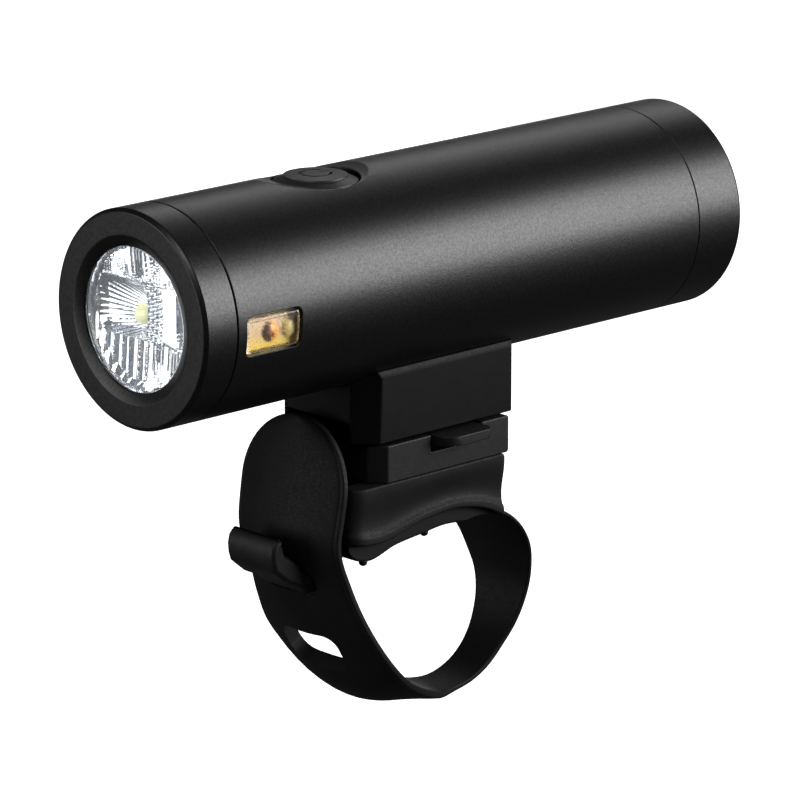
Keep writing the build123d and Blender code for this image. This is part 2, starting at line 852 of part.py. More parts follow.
def rear_cap():
    """The closed end: a shell with a spigot and a seal's groove, the port's opening and two ledges."""
    shell = disc(barrel_radius, barrel_end, lamp_length)
    shell = fillet(shell.edges().group_by(Axis.Y)[-1], rim_chamfer)
    shell += disc(barrel_bore - fit_gap, cap_spigot_front, barrel_end + 0.5)
    inside = barrel_bore - cap_spigot_wall
    shell -= disc(inside, cap_spigot_front - 1, lamp_length - cap_end_wall)
    groove = (cap_spigot_front + 1.2, cap_spigot_front + 1.2 + 2.6 * seal_wire_radius)
    shell -= tube(barrel_bore + 1, barrel_bore - seal_groove_depth, *groove)
    ledge_top = -port_drop - port_height / 2 - port_board_thickness
    for side in (-1, 1):
        x = sorted((side * (port_board_half_width - 1), side * barrel_bore))
        ledge = block(x, (barrel_end + 0.6, lamp_length - 1), (ledge_top - ledge_height, ledge_top))
        shell += ledge & disc(barrel_bore, 0, lamp_length)
    opening = block(
        (-port_width / 2 - cover_gap, port_width / 2 + cover_gap),
        (lamp_length - cap_end_wall - 1, lamp_length + 1),
        (-port_drop - port_height / 2 - cover_gap, -port_drop + port_height / 2 + cover_gap),
    )
    shell -= fillet(opening.edges().filter_by(Axis.Y), 1.2)
    shell -= cover_plate(cover_gap, lamp_length - cover_thickness - cover_gap, lamp_length + 1)
    return shell - anchor_post(0)


cover_low = -port_drop - cover_height / 2
cover_high = -port_drop + cover_height / 2
anchor_z = cover_high + anchor_height / 2 + cover_gap
hinge_z = cover_high + cover_gap / 2


def cover_plate(grow, start, end):
    """The recess or flap outline: the flap over the port and the strip above that anchors it."""
    plate = block(
        (-cover_width / 2 - grow, cover_width / 2 + grow),
        (start, end),
        (cover_low - grow, cover_high + anchor_height + 2 * grow),
    )
    return fillet(plate.edges().filter_by(Axis.Y), cover_corner + grow)


def hinge_bead(grow):
    """The round bead along the line where the silicone cover bends."""
    bead = Rot(0, 90, 0) * Cylinder(hinge_bead_radius + grow, cover_width - 2 * cover_corner)
    return Pos(0, lamp_length, hinge_z) * bead


def anchor_post(grow):
    post = disc(anchor_post_radius + grow, lamp_length - cap_end_wall - 0.4, lamp_length - cover_thickness)
    return Pos(0, 0, anchor_z) * post


def port_anchor():
    """The fixed end of the silicone cover, with the post that holds it in the cap."""
    strip = cover_plate(0, lamp_length - cover_thickness, lamp_length)
    strip &= block((-beyond, beyond), (0, beyond), (cover_high + cover_gap, beyond))
    return strip + anchor_post(0) - hinge_bead(hinge_bead_clearance)


def port_cover():
    """The flap over the port: a plate, a short hollow plug and a finger lip at the bottom."""
    flap = cover_plate(0, lamp_length - cover_thickness, lamp_length)
    flap &= block((-beyond, beyond), (0, beyond), (-beyond, cover_high))
    half_x = port_width / 2 - port_wall - cover_gap
    half_z = port_height / 2 - port_wall - cover_gap
    start = lamp_length - cover_thickness - cover_plug_depth
    z = (-port_drop - half_z, -port_drop + half_z)
    plug = block((-half_x, half_x), (start, lamp_length - 0.5), z)
    plug = fillet(plug.edges().filter_by(Axis.Y), 0.9)
    inner = (half_x - cover_plug_wall, half_z - cover_plug_wall)
    hollow = block(
        (-inner[0], inner[0]),
        (start - 1, start + cover_plug_depth),
        (-port_drop - inner[1], -port_drop + inner[1]),
    )
    lip = block(
        (-cover_lip_half_width, cover_lip_half_width),
        (lamp_length - 0.5, lamp_length + cover_lip_reach),
        (cover_low, cover_low + cover_lip_height),
    )
    return flap + (plug - hollow) + lip + hinge_bead(0)


def usb_socket():
    """The metal shell of the charging port, open to the rear."""
    rear = lamp_length - cap_end_wall
    y = (rear - port_length, rear)
    outer = block(
        (-port_width / 2, port_width / 2), y, (-port_drop - port_height / 2, -port_drop + port_height / 2)
    )
    outer = fillet(outer.edges().filter_by(Axis.Y), 1.25)
    half_x = port_width / 2 - port_wall
    half_z = port_height / 2 - port_wall
    inner = block((-half_x, half_x), (y[0] + 1, y[1] + 1), (-port_drop - half_z, -port_drop + half_z))
    return outer - fillet(inner.edges().filter_by(Axis.Y), 1.0)


def usb_tongue():
    rear = lamp_length - cap_end_wall
    half_z = port_tongue_thickness / 2
    return block(
        (-port_tongue_width / 2, port_tongue_width / 2),
        (rear - port_length + 1, rear - port_tongue_setback),
        (-port_drop - half_z, -port_drop + half_z),
    )


def usb_board():
    top = -port_drop - port_height / 2
    return block(
        (-port_board_half_width, port_board_half_width),
        (barrel_end + 0.6, lamp_length - cap_end_wall - 0.1),
        (top - port_board_thickness, top),
    )


slot_roof = rail_top + rail_clearance - lamp_axis_z
screw_head_top = slot_roof + screw_head_height + 0.2
foot_screw_top = -cell_drop - cell_radius - 0.5


def lamp_foot():
    """The block under the barrel: drafted sides, cut corners, a shoulder bevel and the slot for the rail."""
    shoulder = -math.sqrt(barrel_radius**2 - (foot_half_width - foot_shoulder_inset) ** 2)
    outline = (
        (-foot_base_half_width, -foot_drop),
        (foot_base_half_width, -foot_drop),
        (foot_half_width, shoulder - foot_shoulder),
        (foot_half_width - foot_shoulder_inset, shoulder),
        (foot_half_width - foot_shoulder_inset, -0.6 * barrel_radius),
        (-foot_half_width + foot_shoulder_inset, -0.6 * barrel_radius),
        (-foot_half_width + foot_shoulder_inset, shoulder),
        (-foot_half_width, shoulder - foot_shoulder),
    )
    face = Plane.XZ.offset(-foot_front) * make_face(Polyline(*outline, close=True))
    body = extrude(face, amount=foot_front - foot_rear)
    plan = block((-foot_half_width, foot_half_width), (foot_front, foot_rear), (-foot_drop - 1, 0))
    plan = chamfer(plan.edges().filter_by(Axis.Z), foot_corner)
    body = (body & plan) - disc(barrel_radius, 0, lamp_length)
    slot_rear = rail_rear + rail_clearance - lamp_front
    neck = rail_neck_half_width + rail_clearance
    head = rail_head_half_width + rail_clearance
    head_low = rail_head_bottom - rail_clearance - lamp_axis_z
    body -= block((-neck, neck), (foot_front - 1, slot_rear), (-foot_drop - 1, head_low + 0.1))
    body -= block((-head, head), (foot_front - 1, slot_rear), (head_low, slot_roof))
    for y in foot_screw_y:
        body -= rod(screw_head_radius, 0, y, slot_roof - 1, screw_head_top)
        body -= rod(screw_shank_radius, 0, y, slot_roof, -barrel_radius + 1)
    return body


def foot_screws():
    screws = []
    for y in foot_screw_y:
        head = rod(screw_head_radius, 0, y, screw_head_top - screw_head_height, screw_head_top)
        shank = rod(screw_shank_radius, 0, y, screw_head_top, foot_screw_top)
        drive = Pos(0, y, screw_head_top - screw_head_height) * Box(2.2, 0.5, 1.0)
        screws.append(head + shank - drive)
    return Compound(children=[s.solid() for s in screws])


# The bracket
plate_with_hook = hook_plate()
rubber = strap_front() + strap_rear() + saddle()
rubber -= slot_cut(slot_y, slot_z, slot_height, 0)
rubber -= slot_cut(free_slot_y, free_slot_z, free_slot_height, free_slot_tilt)
rubber -= plate_with_hook
for y in base_screw_y:
    plate_with_hook -= screw_hole(y)
save(rubber, "rubber_strap", black)
save(plate_with_hook, "hook_plate", black)
save(mount_base(), "mount_base", black)
save(Compound(children=[base_screw(y).solid() for y in base_screw_y]), "base_screws", steel)
latch_pin_y = (latch_front - latch_side_gap - 1.5, latch_rear + latch_side_gap + 1.5)
save(Pos(latch_pin_x, 0, latch_pin_z) * disc(latch_pin_radius, *latch_pin_y), "latch_pin", steel)
save(latch_spring(), "latch_spring", steel)
save(release_latch(), "release_latch", black)

# The lamp
led_x, led_z = ((middle - led_size / 2, middle + led_size / 2) for middle in led_centre)
lamp_parts = (
    ("bezel", bezel(), black),
    ("lens_seal", tube(lens_radius, opening_radius + 0.1, bezel_lip, lens_front), black),
    ("front_lens", front_lens(), clear),
    ("reflector", reflector(), steel),
    ("led_emitter", block(led_x, (reflector_back - led_height, reflector_back), led_z), amber),
    ("led_board", led_board(), steel),
    ("led_screws", led_screws(), steel),
    ("heat_sink", heat_sink(), steel),
    ("barrel", barrel(), black),
    ("side_window_right", side_window(1), amber),
    ("side_window_left", side_window(-1), amber),
    ("side_board_right", side_board(1), green),
    ("side_board_left", side_board(-1), green),
    ("side_leds", side_leds(), amber),
    ("power_button", power_button(), black),
    ("button_seal", button_seal(), black),
    ("switch_body", switch_body(), black),
    ("switch_plunger", switch_plunger(), black),
    ("main_board", main_board(), green),
    ("driver_chip", chip(driver_chip_size, chip_height, driver_chip_y), black),
    ("charge_chip", chip(charge_chip_size, chip_height, charge_chip_y), black),
    ("inductor", chip(inductor_size, inductor_height, inductor_y), steel),
    ("capacitors", capacitors(), steel),
    ("cell_holder", cell_holder(), black),
    ("battery_cell", battery_cell(), clear),
    ("front_contact", contact(contact_radius, cell_front - contact_thickness, cell_front), steel),
    ("rear_contact", contact(rear_contact_radius, cell_rear, cell_rear + rear_contact_thickness), steel),
    ("rear_seal", Pos(0, cap_spigot_front + 1.2 + 1.3 * seal_wire_radius, 0) * Rot(90, 0, 0) * Torus(
        barrel_bore - seal_wire_radius - 0.02, seal_wire_radius
    ), black),
    ("rear_cap", rear_cap(), black),
    ("usb_socket", usb_socket(), steel),
    ("usb_tongue", usb_tongue(), black),
    ("usb_board", usb_board(), green),
    ("port_anchor", port_anchor(), black),
    ("port_cover", port_cover(), black),
    ("lamp_foot", lamp_foot(), black),
    ("foot_screws", foot_screws(), steel),
)
for name, shape, colour in lamp_parts:
    save(in_row * shape, name, colour)
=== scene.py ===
import bpy
import math
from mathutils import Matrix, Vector


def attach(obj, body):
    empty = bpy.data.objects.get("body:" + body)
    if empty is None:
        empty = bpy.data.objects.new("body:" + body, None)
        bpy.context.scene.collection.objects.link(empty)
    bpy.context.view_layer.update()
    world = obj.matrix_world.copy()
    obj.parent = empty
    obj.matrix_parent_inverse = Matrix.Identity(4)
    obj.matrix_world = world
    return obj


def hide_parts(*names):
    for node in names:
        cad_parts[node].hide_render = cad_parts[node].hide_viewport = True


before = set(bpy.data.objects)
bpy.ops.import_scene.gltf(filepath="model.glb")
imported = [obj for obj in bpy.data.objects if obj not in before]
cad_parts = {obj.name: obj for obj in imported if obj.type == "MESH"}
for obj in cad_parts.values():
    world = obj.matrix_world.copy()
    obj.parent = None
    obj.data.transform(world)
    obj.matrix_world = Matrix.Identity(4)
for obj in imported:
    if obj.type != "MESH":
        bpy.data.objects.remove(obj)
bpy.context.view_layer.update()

# Sizes in millimetres of the part's frame: the origin is the handlebar's centre, +Y is to the rear.
# AXIS is the height of the lamp's axis and FRONT the place of its front face, from which BEZEL_LENGTH,
# BARREL_END and LAMP_LENGTH are counted. BAR, BARREL, BORE, THREAD and BUTTON_RADIUS are radii.
MM = 0.001
AXIS = 49.2
FRONT = -56.5
BAR = 12.7
SADDLE_TOP = 21.25
BARREL = 15.0
BORE = 13.5
THREAD = 13.45
BEZEL_LENGTH = 5.66
BARREL_END = 94.43
LAMP_LENGTH = 103.3
SEAM = 0.1
BUTTON_MIDDLE = FRONT + 33.6
BUTTON_RADIUS = 5.9


# Modelling helpers

def only(*chosen):
    """Leaves edit mode and selects these pieces and nothing else; the first is the active one."""
    if bpy.context.mode != "OBJECT":
        bpy.ops.object.mode_set(mode="OBJECT")
    bpy.ops.object.select_all(action="DESELECT")
    for piece in chosen:
        piece.select_set(True)
    bpy.context.view_layer.objects.active = chosen[0]


def everything(*places):
    """The test of edit that all points, edges or faces pass."""
    return True


def edit(piece, part, test):
    """Opens a piece for editing with only the points, edges or faces selected that pass the test."""
    only(piece)
    mesh = piece.data
    bpy.context.tool_settings.mesh_select_mode = [part == kind for kind in ("point", "edge", "face")]
    for group in (mesh.vertices, mesh.edges, mesh.polygons):
        group.foreach_set("select", [False] * len(group))
    if part == "point":
        for point in mesh.vertices:
            point.select = test(point.co / MM)
    elif part == "edge":
        for edge in mesh.edges:
            start, end = (mesh.vertices[index].co / MM for index in edge.vertices)
            edge.select = test(start, end)
    else:
        for face in mesh.polygons:
            face.select = test(face.center / MM, face.normal)
    bpy.ops.object.mode_set(mode="EDIT")


def settle(piece):
    """Puts a new primitive's place into its mesh."""
    only(piece)
    bpy.ops.object.transform_apply(location=True, rotation=True, scale=True)
    return piece


def turn_outwards(piece):
    """Turns every face of a piece that is open for editing outwards, and closes it."""
    bpy.ops.mesh.select_all(action="SELECT")
    bpy.ops.mesh.normals_make_consistent(inside=False)
    only(piece)
    return piece


def close_up(piece):
    """Merges doubled points, drops loose edges and turns every face outwards."""
    edit(piece, "point", everything)
    bpy.ops.mesh.remove_doubles(threshold=0.0005 * MM)
    bpy.ops.mesh.delete_loose()
    return turn_outwards(piece)


def block(x, y, z):
    """A box between the two ends given for each axis."""
    low, high = (Vector(ends) * MM for ends in zip(x, y, z))
    bpy.ops.mesh.primitive_cube_add(size=1, location=(low + high) / 2, scale=high - low)
    return settle(bpy.context.object)


def rod(radius, start, end, sides=96):
    """A cylinder from one centre to another."""
    start, end = Vector(start) * MM, Vector(end) * MM
    along = end - start
    bpy.ops.mesh.primitive_cylinder_add(
        vertices=sides, radius=radius * MM, depth=along.length, location=(start + end) / 2,
        rotation=along.to_track_quat("Z", "Y").to_euler(),
    )
    return settle(bpy.context.object)


def flat(corners):
    """A flat face with its corners at these places."""
    bpy.ops.mesh.primitive_circle_add(vertices=len(corners), fill_type="NGON")
    piece = bpy.context.object
    for point, corner in zip(piece.data.vertices, corners):
        point.co = Vector(corner) * MM
    return piece


def extruded(corners, along):
    """A solid between a flat face and the same face moved along."""
    piece = flat(corners)
    edit(piece, "face", everything)
    bpy.ops.mesh.extrude_region_move(TRANSFORM_OT_translate={"value": Vector(along) * MM})
    return turn_outwards(piece)


def slab(outline, half_width):
    """An outline of (y, z) corners, as wide as it says on both sides of the middle."""
    return extruded([(-half_width, y, z) for y, z in outline], (2 * half_width, 0, 0))


def turned(outline, steps=192, centre=(0, AXIS)):
    """A closed outline of (distance behind the lamp's face, radius), spun round an axis along Y."""
    across, height = centre
    piece = flat([(across, FRONT + y, height + radius) for y, radius in outline])
    edit(piece, "face", everything)
    bpy.ops.mesh.delete(type="ONLY_FACE")
    bpy.ops.mesh.select_all(action="SELECT")
    bpy.ops.mesh.spin(
        steps=steps, angle=math.tau, center=(across * MM, 0, height * MM), axis=(0, 1, 0)
    )
    return close_up(piece)


def lofted(rings):
    """A closed skin over rings of places: a face is extruded from each ring to the next."""
    piece = flat(rings[0])
    mesh = piece.data
    edit(piece, "face", everything)
    for before, after in zip(rings, rings[1:]):
        bpy.ops.mesh.extrude_region_move()
        bpy.ops.object.mode_set(mode="OBJECT")
        for point in mesh.vertices:
            if point.select:
                place = point.co / MM
                nearest = min(range(len(before)), key=lambda i: (Vector(before[i]) - place).length_squared)
                point.co = Vector(after[nearest]) * MM
        bpy.ops.object.mode_set(mode="EDIT")
    return turn_outwards(piece)


def modify(piece, kind, **settings):
    """Adds a modifier and applies it."""
    only(piece)
    modifier = piece.modifiers.new(kind, kind)
    for name, value in settings.items():
        setattr(modifier, name, value)
    bpy.ops.object.modifier_apply(modifier=modifier.name)
    return piece


def combine(piece, tool, how="DIFFERENCE"):
    """Cuts a tool out of a piece, adds it or keeps what they share, and takes the tool away."""
    modify(piece, "BOOLEAN", object=tool, operation=how, solver="EXACT")
    bpy.data.objects.remove(tool, do_unlink=True)
    return piece


def round_edges(piece, test, width, segments=6):
    """Rounds the edges that pass the test of their two ends."""
    edit(piece, "edge", test)
    bpy.ops.mesh.bevel(offset=width * MM, segments=segments, affect="EDGES")
    only(piece)
    return piece


def runs_along(axis):
    """The test of round_edges for all edges along one axis."""
    return lambda start, end: abs((end - start).normalized()[axis]) > 0.999


def soften(piece, width, sharp=30, segments=3):
    """Breaks every edge that turns more than the sharp angle, in degrees."""
    return modify(
        piece, "BEVEL", width=width * MM, segments=segments, limit_method="ANGLE",
        angle_limit=math.radians(sharp), use_clamp_overlap=False, miter_outer="MITER_ARC",
    )


def shade(piece, sharp=30):
    """Smooth shading, except across edges that turn more than the sharp angle."""
    only(piece)
    bpy.ops.object.shade_smooth_by_angle(angle=math.radians(sharp))
    return modify(piece, "WEIGHTED_NORMAL", keep_sharp=True)


def dressed(node, width, sharp=30):
    """A copy of a CAD node, merged into one skin, with its edges softened."""
    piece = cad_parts[node].copy()
    piece.data = piece.data.copy()
    bpy.context.collection.objects.link(piece)
    piece.hide_render = False
    close_up(piece)
    edit(piece, "face", everything)
    bpy.ops.mesh.dissolve_limited(angle_limit=math.radians(0.5))
    only(piece)
    return shade(soften(piece, width, sharp), sharp)


def hand_over(piece, name, body, slot, look, *nodes):
    """Names a finished piece, attaches it to the body it rides on and hides the CAD nodes it stands for.

    The look is its finish; without one it keeps the finishes it has. The slot is not used.
    """
    piece.name = name
    piece.data.name = name
    if look:
        piece.data.materials.clear()
        piece.data.materials.append(look)
    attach(piece, body)
    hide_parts(*nodes)
    return piece

# Finishes

# Where nearly all values of a noise texture lie, and the size of a speck in mm.
NOISE_LOW = 0.3
NOISE_HIGH = 0.7
SPECK = 0.3


def linear(colour):
    """The linear values of an sRGB hex colour."""
    shares = [int(colour[place:place + 2], 16) / 255 for place in (1, 3, 5)]
    return [s / 12.92 if s <= 0.04045 else ((s + 0.055) / 1.055) ** 2.4 for s in shares] + [1.0]


def add_node(tree, kind, values, **settings):
    """Adds a node with its settings; a value that is another node's socket is linked."""
    node = tree.nodes.new(kind)
    for name, setting in settings.items():
        setattr(node, name, setting)
    for name, value in values.items():
        if isinstance(value, bpy.types.NodeSocket):
            tree.links.new(value, node.inputs[name])
        else:
            node.inputs[name].default_value = value
    return node


def finish(name, colours, roughness, grain, relief, blotch=4.0, **values):
    """A surface with two close colours in blotches, a roughness that varies, and a fine relief.

    The grain and blotch are their size in mm, and the relief its height in micrometres.
    """
    material = bpy.data.materials.new(name)
    material.use_nodes = True
    tree = material.node_tree
    shader = tree.nodes["Principled BSDF"]
    place = add_node(tree, "ShaderNodeTexCoord", {}).outputs["Object"]
    wide = add_node(tree, "ShaderNodeTexNoise", {"Vector": place, "Scale": 1 / (blotch * MM), "Detail": 3.0})
    ramp = add_node(tree, "ShaderNodeValToRGB", {"Fac": wide.outputs["Fac"]})
    for stop, colour, where in zip(ramp.color_ramp.elements, colours, (NOISE_LOW, NOISE_HIGH)):
        stop.color = linear(colour)
        stop.position = where
    fine = add_node(tree, "ShaderNodeTexNoise", {"Vector": place, "Scale": 1 / (grain * MM), "Detail": 2.0})
    low, high = roughness
    spread = add_node(tree, "ShaderNodeMapRange", {
        "Value": fine.outputs["Fac"], "From Min": NOISE_LOW, "From Max": NOISE_HIGH,
        "To Min": low, "To Max": high,
    })
    bump = add_node(
        tree, "ShaderNodeBump", {"Height": fine.outputs["Fac"], "Distance": relief * 1e-6, "Strength": 1.0}
    )
    tree.links.new(ramp.outputs["Color"], shader.inputs["Base Color"])
    tree.links.new(spread.outputs["Result"], shader.inputs["Roughness"])
    tree.links.new(bump.outputs["Normal"], shader.inputs["Normal"])
    for socket, value in values.items():
        shader.inputs[socket.replace("_", " ")].default_value = value
    return material


def graded(material, axis, start, end, colours, scatter):
    """Gives a finish two colours that change along one axis, in mm, with a speckled border."""
    tree = material.node_tree
    place = add_node(tree, "ShaderNodeTexCoord", {}).outputs["Object"]
    along = add_node(tree, "ShaderNodeSeparateXYZ", {"Vector": place}).outputs[axis]
    specks = add_node(tree, "ShaderNodeTexNoise", {"Vector": place, "Scale": 1 / (SPECK * MM), "Detail": 2.0})
    shifted = add_node(
        tree, "ShaderNodeMath", {0: specks.outputs["Fac"], 1: 2 * scatter * MM, 2: along},
        operation="MULTIPLY_ADD",
    )
    share = add_node(tree, "ShaderNodeMapRange", {
        "Value": shifted.outputs["Value"],
        "From Min": (start + scatter) * MM, "From Max": (end + scatter) * MM,
    })
    ramp = add_node(tree, "ShaderNodeValToRGB", {"Fac": share.outputs["Result"]})
    for stop, colour in zip(ramp.color_ramp.elements, colours):
        stop.color = linear(colour)
    tree.links.new(ramp.outputs["Color"], tree.nodes["Principled BSDF"].inputs["Base Color"])
    return material


def let_light_through(material):
    """Lets lamps light what is behind a clear piece, whose glass would otherwise shade it."""
    tree = material.node_tree
    shader = tree.nodes["Principled BSDF"]
    path = add_node(tree, "ShaderNodeLightPath", {})
    clear = add_node(tree, "ShaderNodeBsdfTransparent", {})
    mix = add_node(
        tree, "ShaderNodeMixShader",
        {0: path.outputs["Is Shadow Ray"], 1: shader.outputs["BSDF"], 2: clear.outputs["BSDF"]},
    )
    tree.links.new(mix.outputs["Shader"], tree.nodes["Material Output"].inputs["Surface"])
    return material


# Bead-blasted, black anodised aluminium: a dark satin metal with a fine grain.
anodised = finish(
    "black_anodised_aluminium", ("#363636", "#424242"), (0.33, 0.43), 0.2, 11, 0.35, Metallic=1.0
)
# Glass-filled nylon from a spark-eroded mould: dull black with a soft sheen on its edges.
nylon = finish(
    "glass_filled_nylon", ("#131314", "#19191a"), (0.42, 0.58), 0.3, 12, 3.0, Specular_IOR_Level=0.3
)
# The foot's nylon: a darker copy of the same nylon with less specular; its darker colour is painted shade,
# the shadow the barrel casts on the foot.
shaded_foot_nylon = finish(
    "nylon_with_painted_shade", ("#0b0b0c", "#101011"), (0.46, 0.6), 0.3, 8, 2.0, Specular_IOR_Level=0.12
)
# Moulded rubber: matt, with a faint bloom.
rubber = finish(
    "moulded_rubber", ("#121213", "#181819"), (0.5, 0.66), 0.3, 14, 5.0, Specular_IOR_Level=0.17
)
# Moulded silicone: matt and a little softer than the strap.
silicone = finish("moulded_silicone", ("#1a1a1b", "#222223"), (0.55, 0.68), 0.3, 6)
# ABS button cap: satin black.
button_plastic = finish("satin_abs", ("#1f1f20", "#272728"), (0.38, 0.52), 0.25, 14, 0.5)
# Polycarbonate lens: clear and polished.
clear_plastic = let_light_through(finish(
    "polished_polycarbonate", ("#fbfdff", "#ffffff"), (0.01, 0.03), 3.0, 2,
    Transmission_Weight=1.0, IOR=1.49, Specular_IOR_Level=0.1,
))
# Tinted polycarbonate side window: frosted, with a warm tint.
amber_plastic = let_light_through(finish(
    "tinted_polycarbonate", ("#fff3da", "#fff8e8"), (0.22, 0.36), 0.22, 30, Transmission_Weight=1.0, IOR=1.3
))
# Light tray behind the side windows: diffusing plastic, beige above and yellow where the light is led.
tray_plastic = graded(
    finish("diffusing_plastic", ("#b9a592", "#cfbda6"), (0.35, 0.5), 0.3, 6, 0.7),
    "Z", AXIS - 3.3, AXIS - 1.1, ("#d9c034", "#cbb8a6"), 0.8,
)
# Vacuum-metallised reflector: very bright, with a slight haze.
metallised = finish(
    "vacuum_metallised_plastic", ("#edf2f8", "#fbfcfe"), (0.05, 0.12), 0.6, 3, Metallic=0.92
)
# LED phosphor under clear silicone: pale yellow under a wet gloss.
phosphor = finish("led_phosphor", ("#dbdca6", "#eeefcc"), (0.08, 0.16), 0.3, 4, Coat_Weight=1.0)
# The side lights' front phosphor: orange, with a dark half to the front.
orange_phosphor = graded(
    finish("orange_led_phosphor", ("#a8661c", "#f0b04a"), (0.2, 0.3), 0.2, 4, 0.3, Coat_Weight=1.0),
    "Y", FRONT + 12.2, FRONT + 13.2, ("#5f4245", "#e79a30"), 1.5,
)
# The side lights' rear phosphor: a greenish cream.
green_phosphor = finish("green_led_phosphor", ("#cfc48e", "#e9e2bd"), (0.2, 0.3), 0.2, 4, Coat_Weight=1.0)
# Solder masks on the boards: cream round the LED and green on the others, both with a soft gloss.
white_mask = finish("white_solder_mask", ("#d8c99a", "#e6dbb6"), (0.3, 0.45), 0.3, 4)
green_mask = finish("green_solder_mask", ("#0c4a24", "#10582c"), (0.25, 0.4), 0.3, 4)
# Turned aluminium of the heat sink: bright and bare.
bare_metal = finish("turned_aluminium", ("#a9abae", "#bcbec0"), (0.25, 0.4), 0.2, 4, Metallic=1.0)
# Zinc-plated steel of the screws, springs and contacts: grey and slightly dull.
zinc_steel = finish("zinc_plated_steel", ("#9fa1a3", "#b4b6b8"), (0.22, 0.36), 0.3, 4, Metallic=1.0)
# Moulded epoxy of the chips: dull black.
epoxy_black = finish("moulded_epoxy", ("#141414", "#1a1a1a"), (0.5, 0.65), 0.2, 4)
# ABS cell holder: off-white and satin.
holder_white = finish("white_abs", ("#d4d4d0", "#dededa"), (0.4, 0.55), 0.3, 4)
# Shrink sleeve of the cell: blue and glossy.
cell_sleeve = finish("shrink_sleeve", ("#1c4f93", "#2259a0"), (0.2, 0.32), 0.6, 6)

# The CAD nodes that are shown as they are, by their finish.
for node_finish, nodes in (
    (bare_metal, ("heat_sink", "capacitors")),
    (silicone, ("lens_seal", "button_seal", "rear_seal")),
    (white_mask, ("led_board",)),
    (green_mask, ("main_board", "usb_board")),
    (epoxy_black, ("driver_chip", "charge_chip", "switch_body", "switch_plunger", "usb_tongue")),
    (holder_white, ("cell_holder",)),
    (cell_sleeve, ("battery_cell",)),
    (zinc_steel, (
        "inductor", "base_screws", "foot_screws", "led_screws", "latch_pin", "latch_spring", "front_contact",
        "rear_contact", "usb_socket",
    )),
):
    for node in nodes:
        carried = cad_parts[node].data.materials
        carried.clear()
        carried.append(node_finish)


# The lamp's tube

WINDOW_FRONT = 7.36
WINDOW_REAR = 17.1
WINDOW_LOW = -3.7
WINDOW_HIGH = 1.7
WINDOW_CORNER = 0.9


def window_tool(side, grow=0.0):
    """The side window's opening: a box with round corners, through one side of the barrel."""
    tool = block(
        sorted((side * 8.0, side * 17.0)),
        (FRONT + WINDOW_FRONT - grow, FRONT + WINDOW_REAR + grow),
        (AXIS + WINDOW_LOW - grow, AXIS + WINDOW_HIGH + grow),
    )
    return round_edges(tool, runs_along(0), WINDOW_CORNER + grow, 8)


def finished_tube(piece, edge, sharp, name, node):
    """Softens and shades one part of the tube, and hands it over."""
    soften(piece, edge, sharp)
    shade(piece, sharp)
    hand_over(piece, name, "lamp", "anodised_aluminium", anodised, node)


# Rings along the barrel, so that its faces stay short round the windows and the button's pocket.
barrel_rings = [BEZEL_LENGTH + 1, 7.0, 12.2, 17.6, 21.0, 24.2, 28.0, 33.3, 38.6, 42.4]
barrel_rings += [48.0, 56.0, 64.0, 72.0, 80.0, 88.0, BARREL_END - 1]
barrel = turned(
    [(BEZEL_LENGTH + SEAM, BORE), (BEZEL_LENGTH + SEAM, BARREL)] + [(y, BARREL) for y in barrel_rings]
    + [(BARREL_END - SEAM, BARREL), (BARREL_END - SEAM, BORE)]
)
# The pocket under the button: a wide cutter whose axis lies across the lamp.
POCKET_DEPTH = 1.28
POCKET_RADIUS = 31.0
POCKET_Y = BUTTON_MIDDLE - 0.6
BUTTON_GAP = 0.2
pocket_z = AXIS + BARREL - POCKET_DEPTH + POCKET_RADIUS
combine(barrel, rod(POCKET_RADIUS, (-20, POCKET_Y, pocket_z), (20, POCKET_Y, pocket_z), 512))
combine(barrel, rod(BUTTON_RADIUS + BUTTON_GAP, (0, BUTTON_MIDDLE, AXIS), (0, BUTTON_MIDDLE, AXIS + 20)))
for side in (-1, 1):
    combine(barrel, window_tool(side))
finished_tube(barrel, 0.13, 12, "lamp_barrel", "barrel")

BEZEL_BORE = 11.75
RIM_INNER = 9.9
bezel = turned([
    (0.0, 11.4), (0.0, 14.5), (0.5, BARREL), (3.0, BARREL), (BEZEL_LENGTH - SEAM, BARREL),
    (BEZEL_LENGTH - SEAM, THREAD), (6.56, THREAD), (6.56, BEZEL_BORE), (0.9, BEZEL_BORE), (0.9, RIM_INNER),
    (0.6, RIM_INNER),
], 256)
finished_tube(bezel, 0.12, 20, "front_bezel", "bezel")

CAP_BORE = 12.05
CAP_FRONT = BARREL_END - 4.0
CAP_FLOOR = LAMP_LENGTH - 2.2
COVER_MIDDLE = AXIS - 2.0
cap = turned([
    (BARREL_END, CAP_BORE), (CAP_FRONT, CAP_BORE), (CAP_FRONT, THREAD), (BARREL_END, THREAD),
    (BARREL_END, BARREL), (98.0, BARREL), (LAMP_LENGTH - 0.5, BARREL), (LAMP_LENGTH - 0.15, 14.85),
    (LAMP_LENGTH, 14.5), (LAMP_LENGTH, 0.0), (CAP_FLOOR, 0.0), (CAP_FLOOR, CAP_BORE),
])


def rear_pocket(half_width, depth, z, corner):
    """Cuts a pocket with round corners into the rear cap's face."""
    pocket = block((-half_width, half_width), (FRONT + LAMP_LENGTH - depth, FRONT + LAMP_LENGTH + 1), z)
    combine(cap, round_edges(pocket, runs_along(1), corner))


# The recess for the port's cover, and the port's hole in its floor.
rear_pocket(6.8, 1.4, (COVER_MIDDLE - 3.9, COVER_MIDDLE + 7.2), 1.7)
rear_pocket(4.77, 3.2, (COVER_MIDDLE - 1.93, COVER_MIDDLE + 1.93), 1.2)
finished_tube(cap, 0.12, 22, "rear_end_cap", "rear_cap")


# Lens, reflector and LED

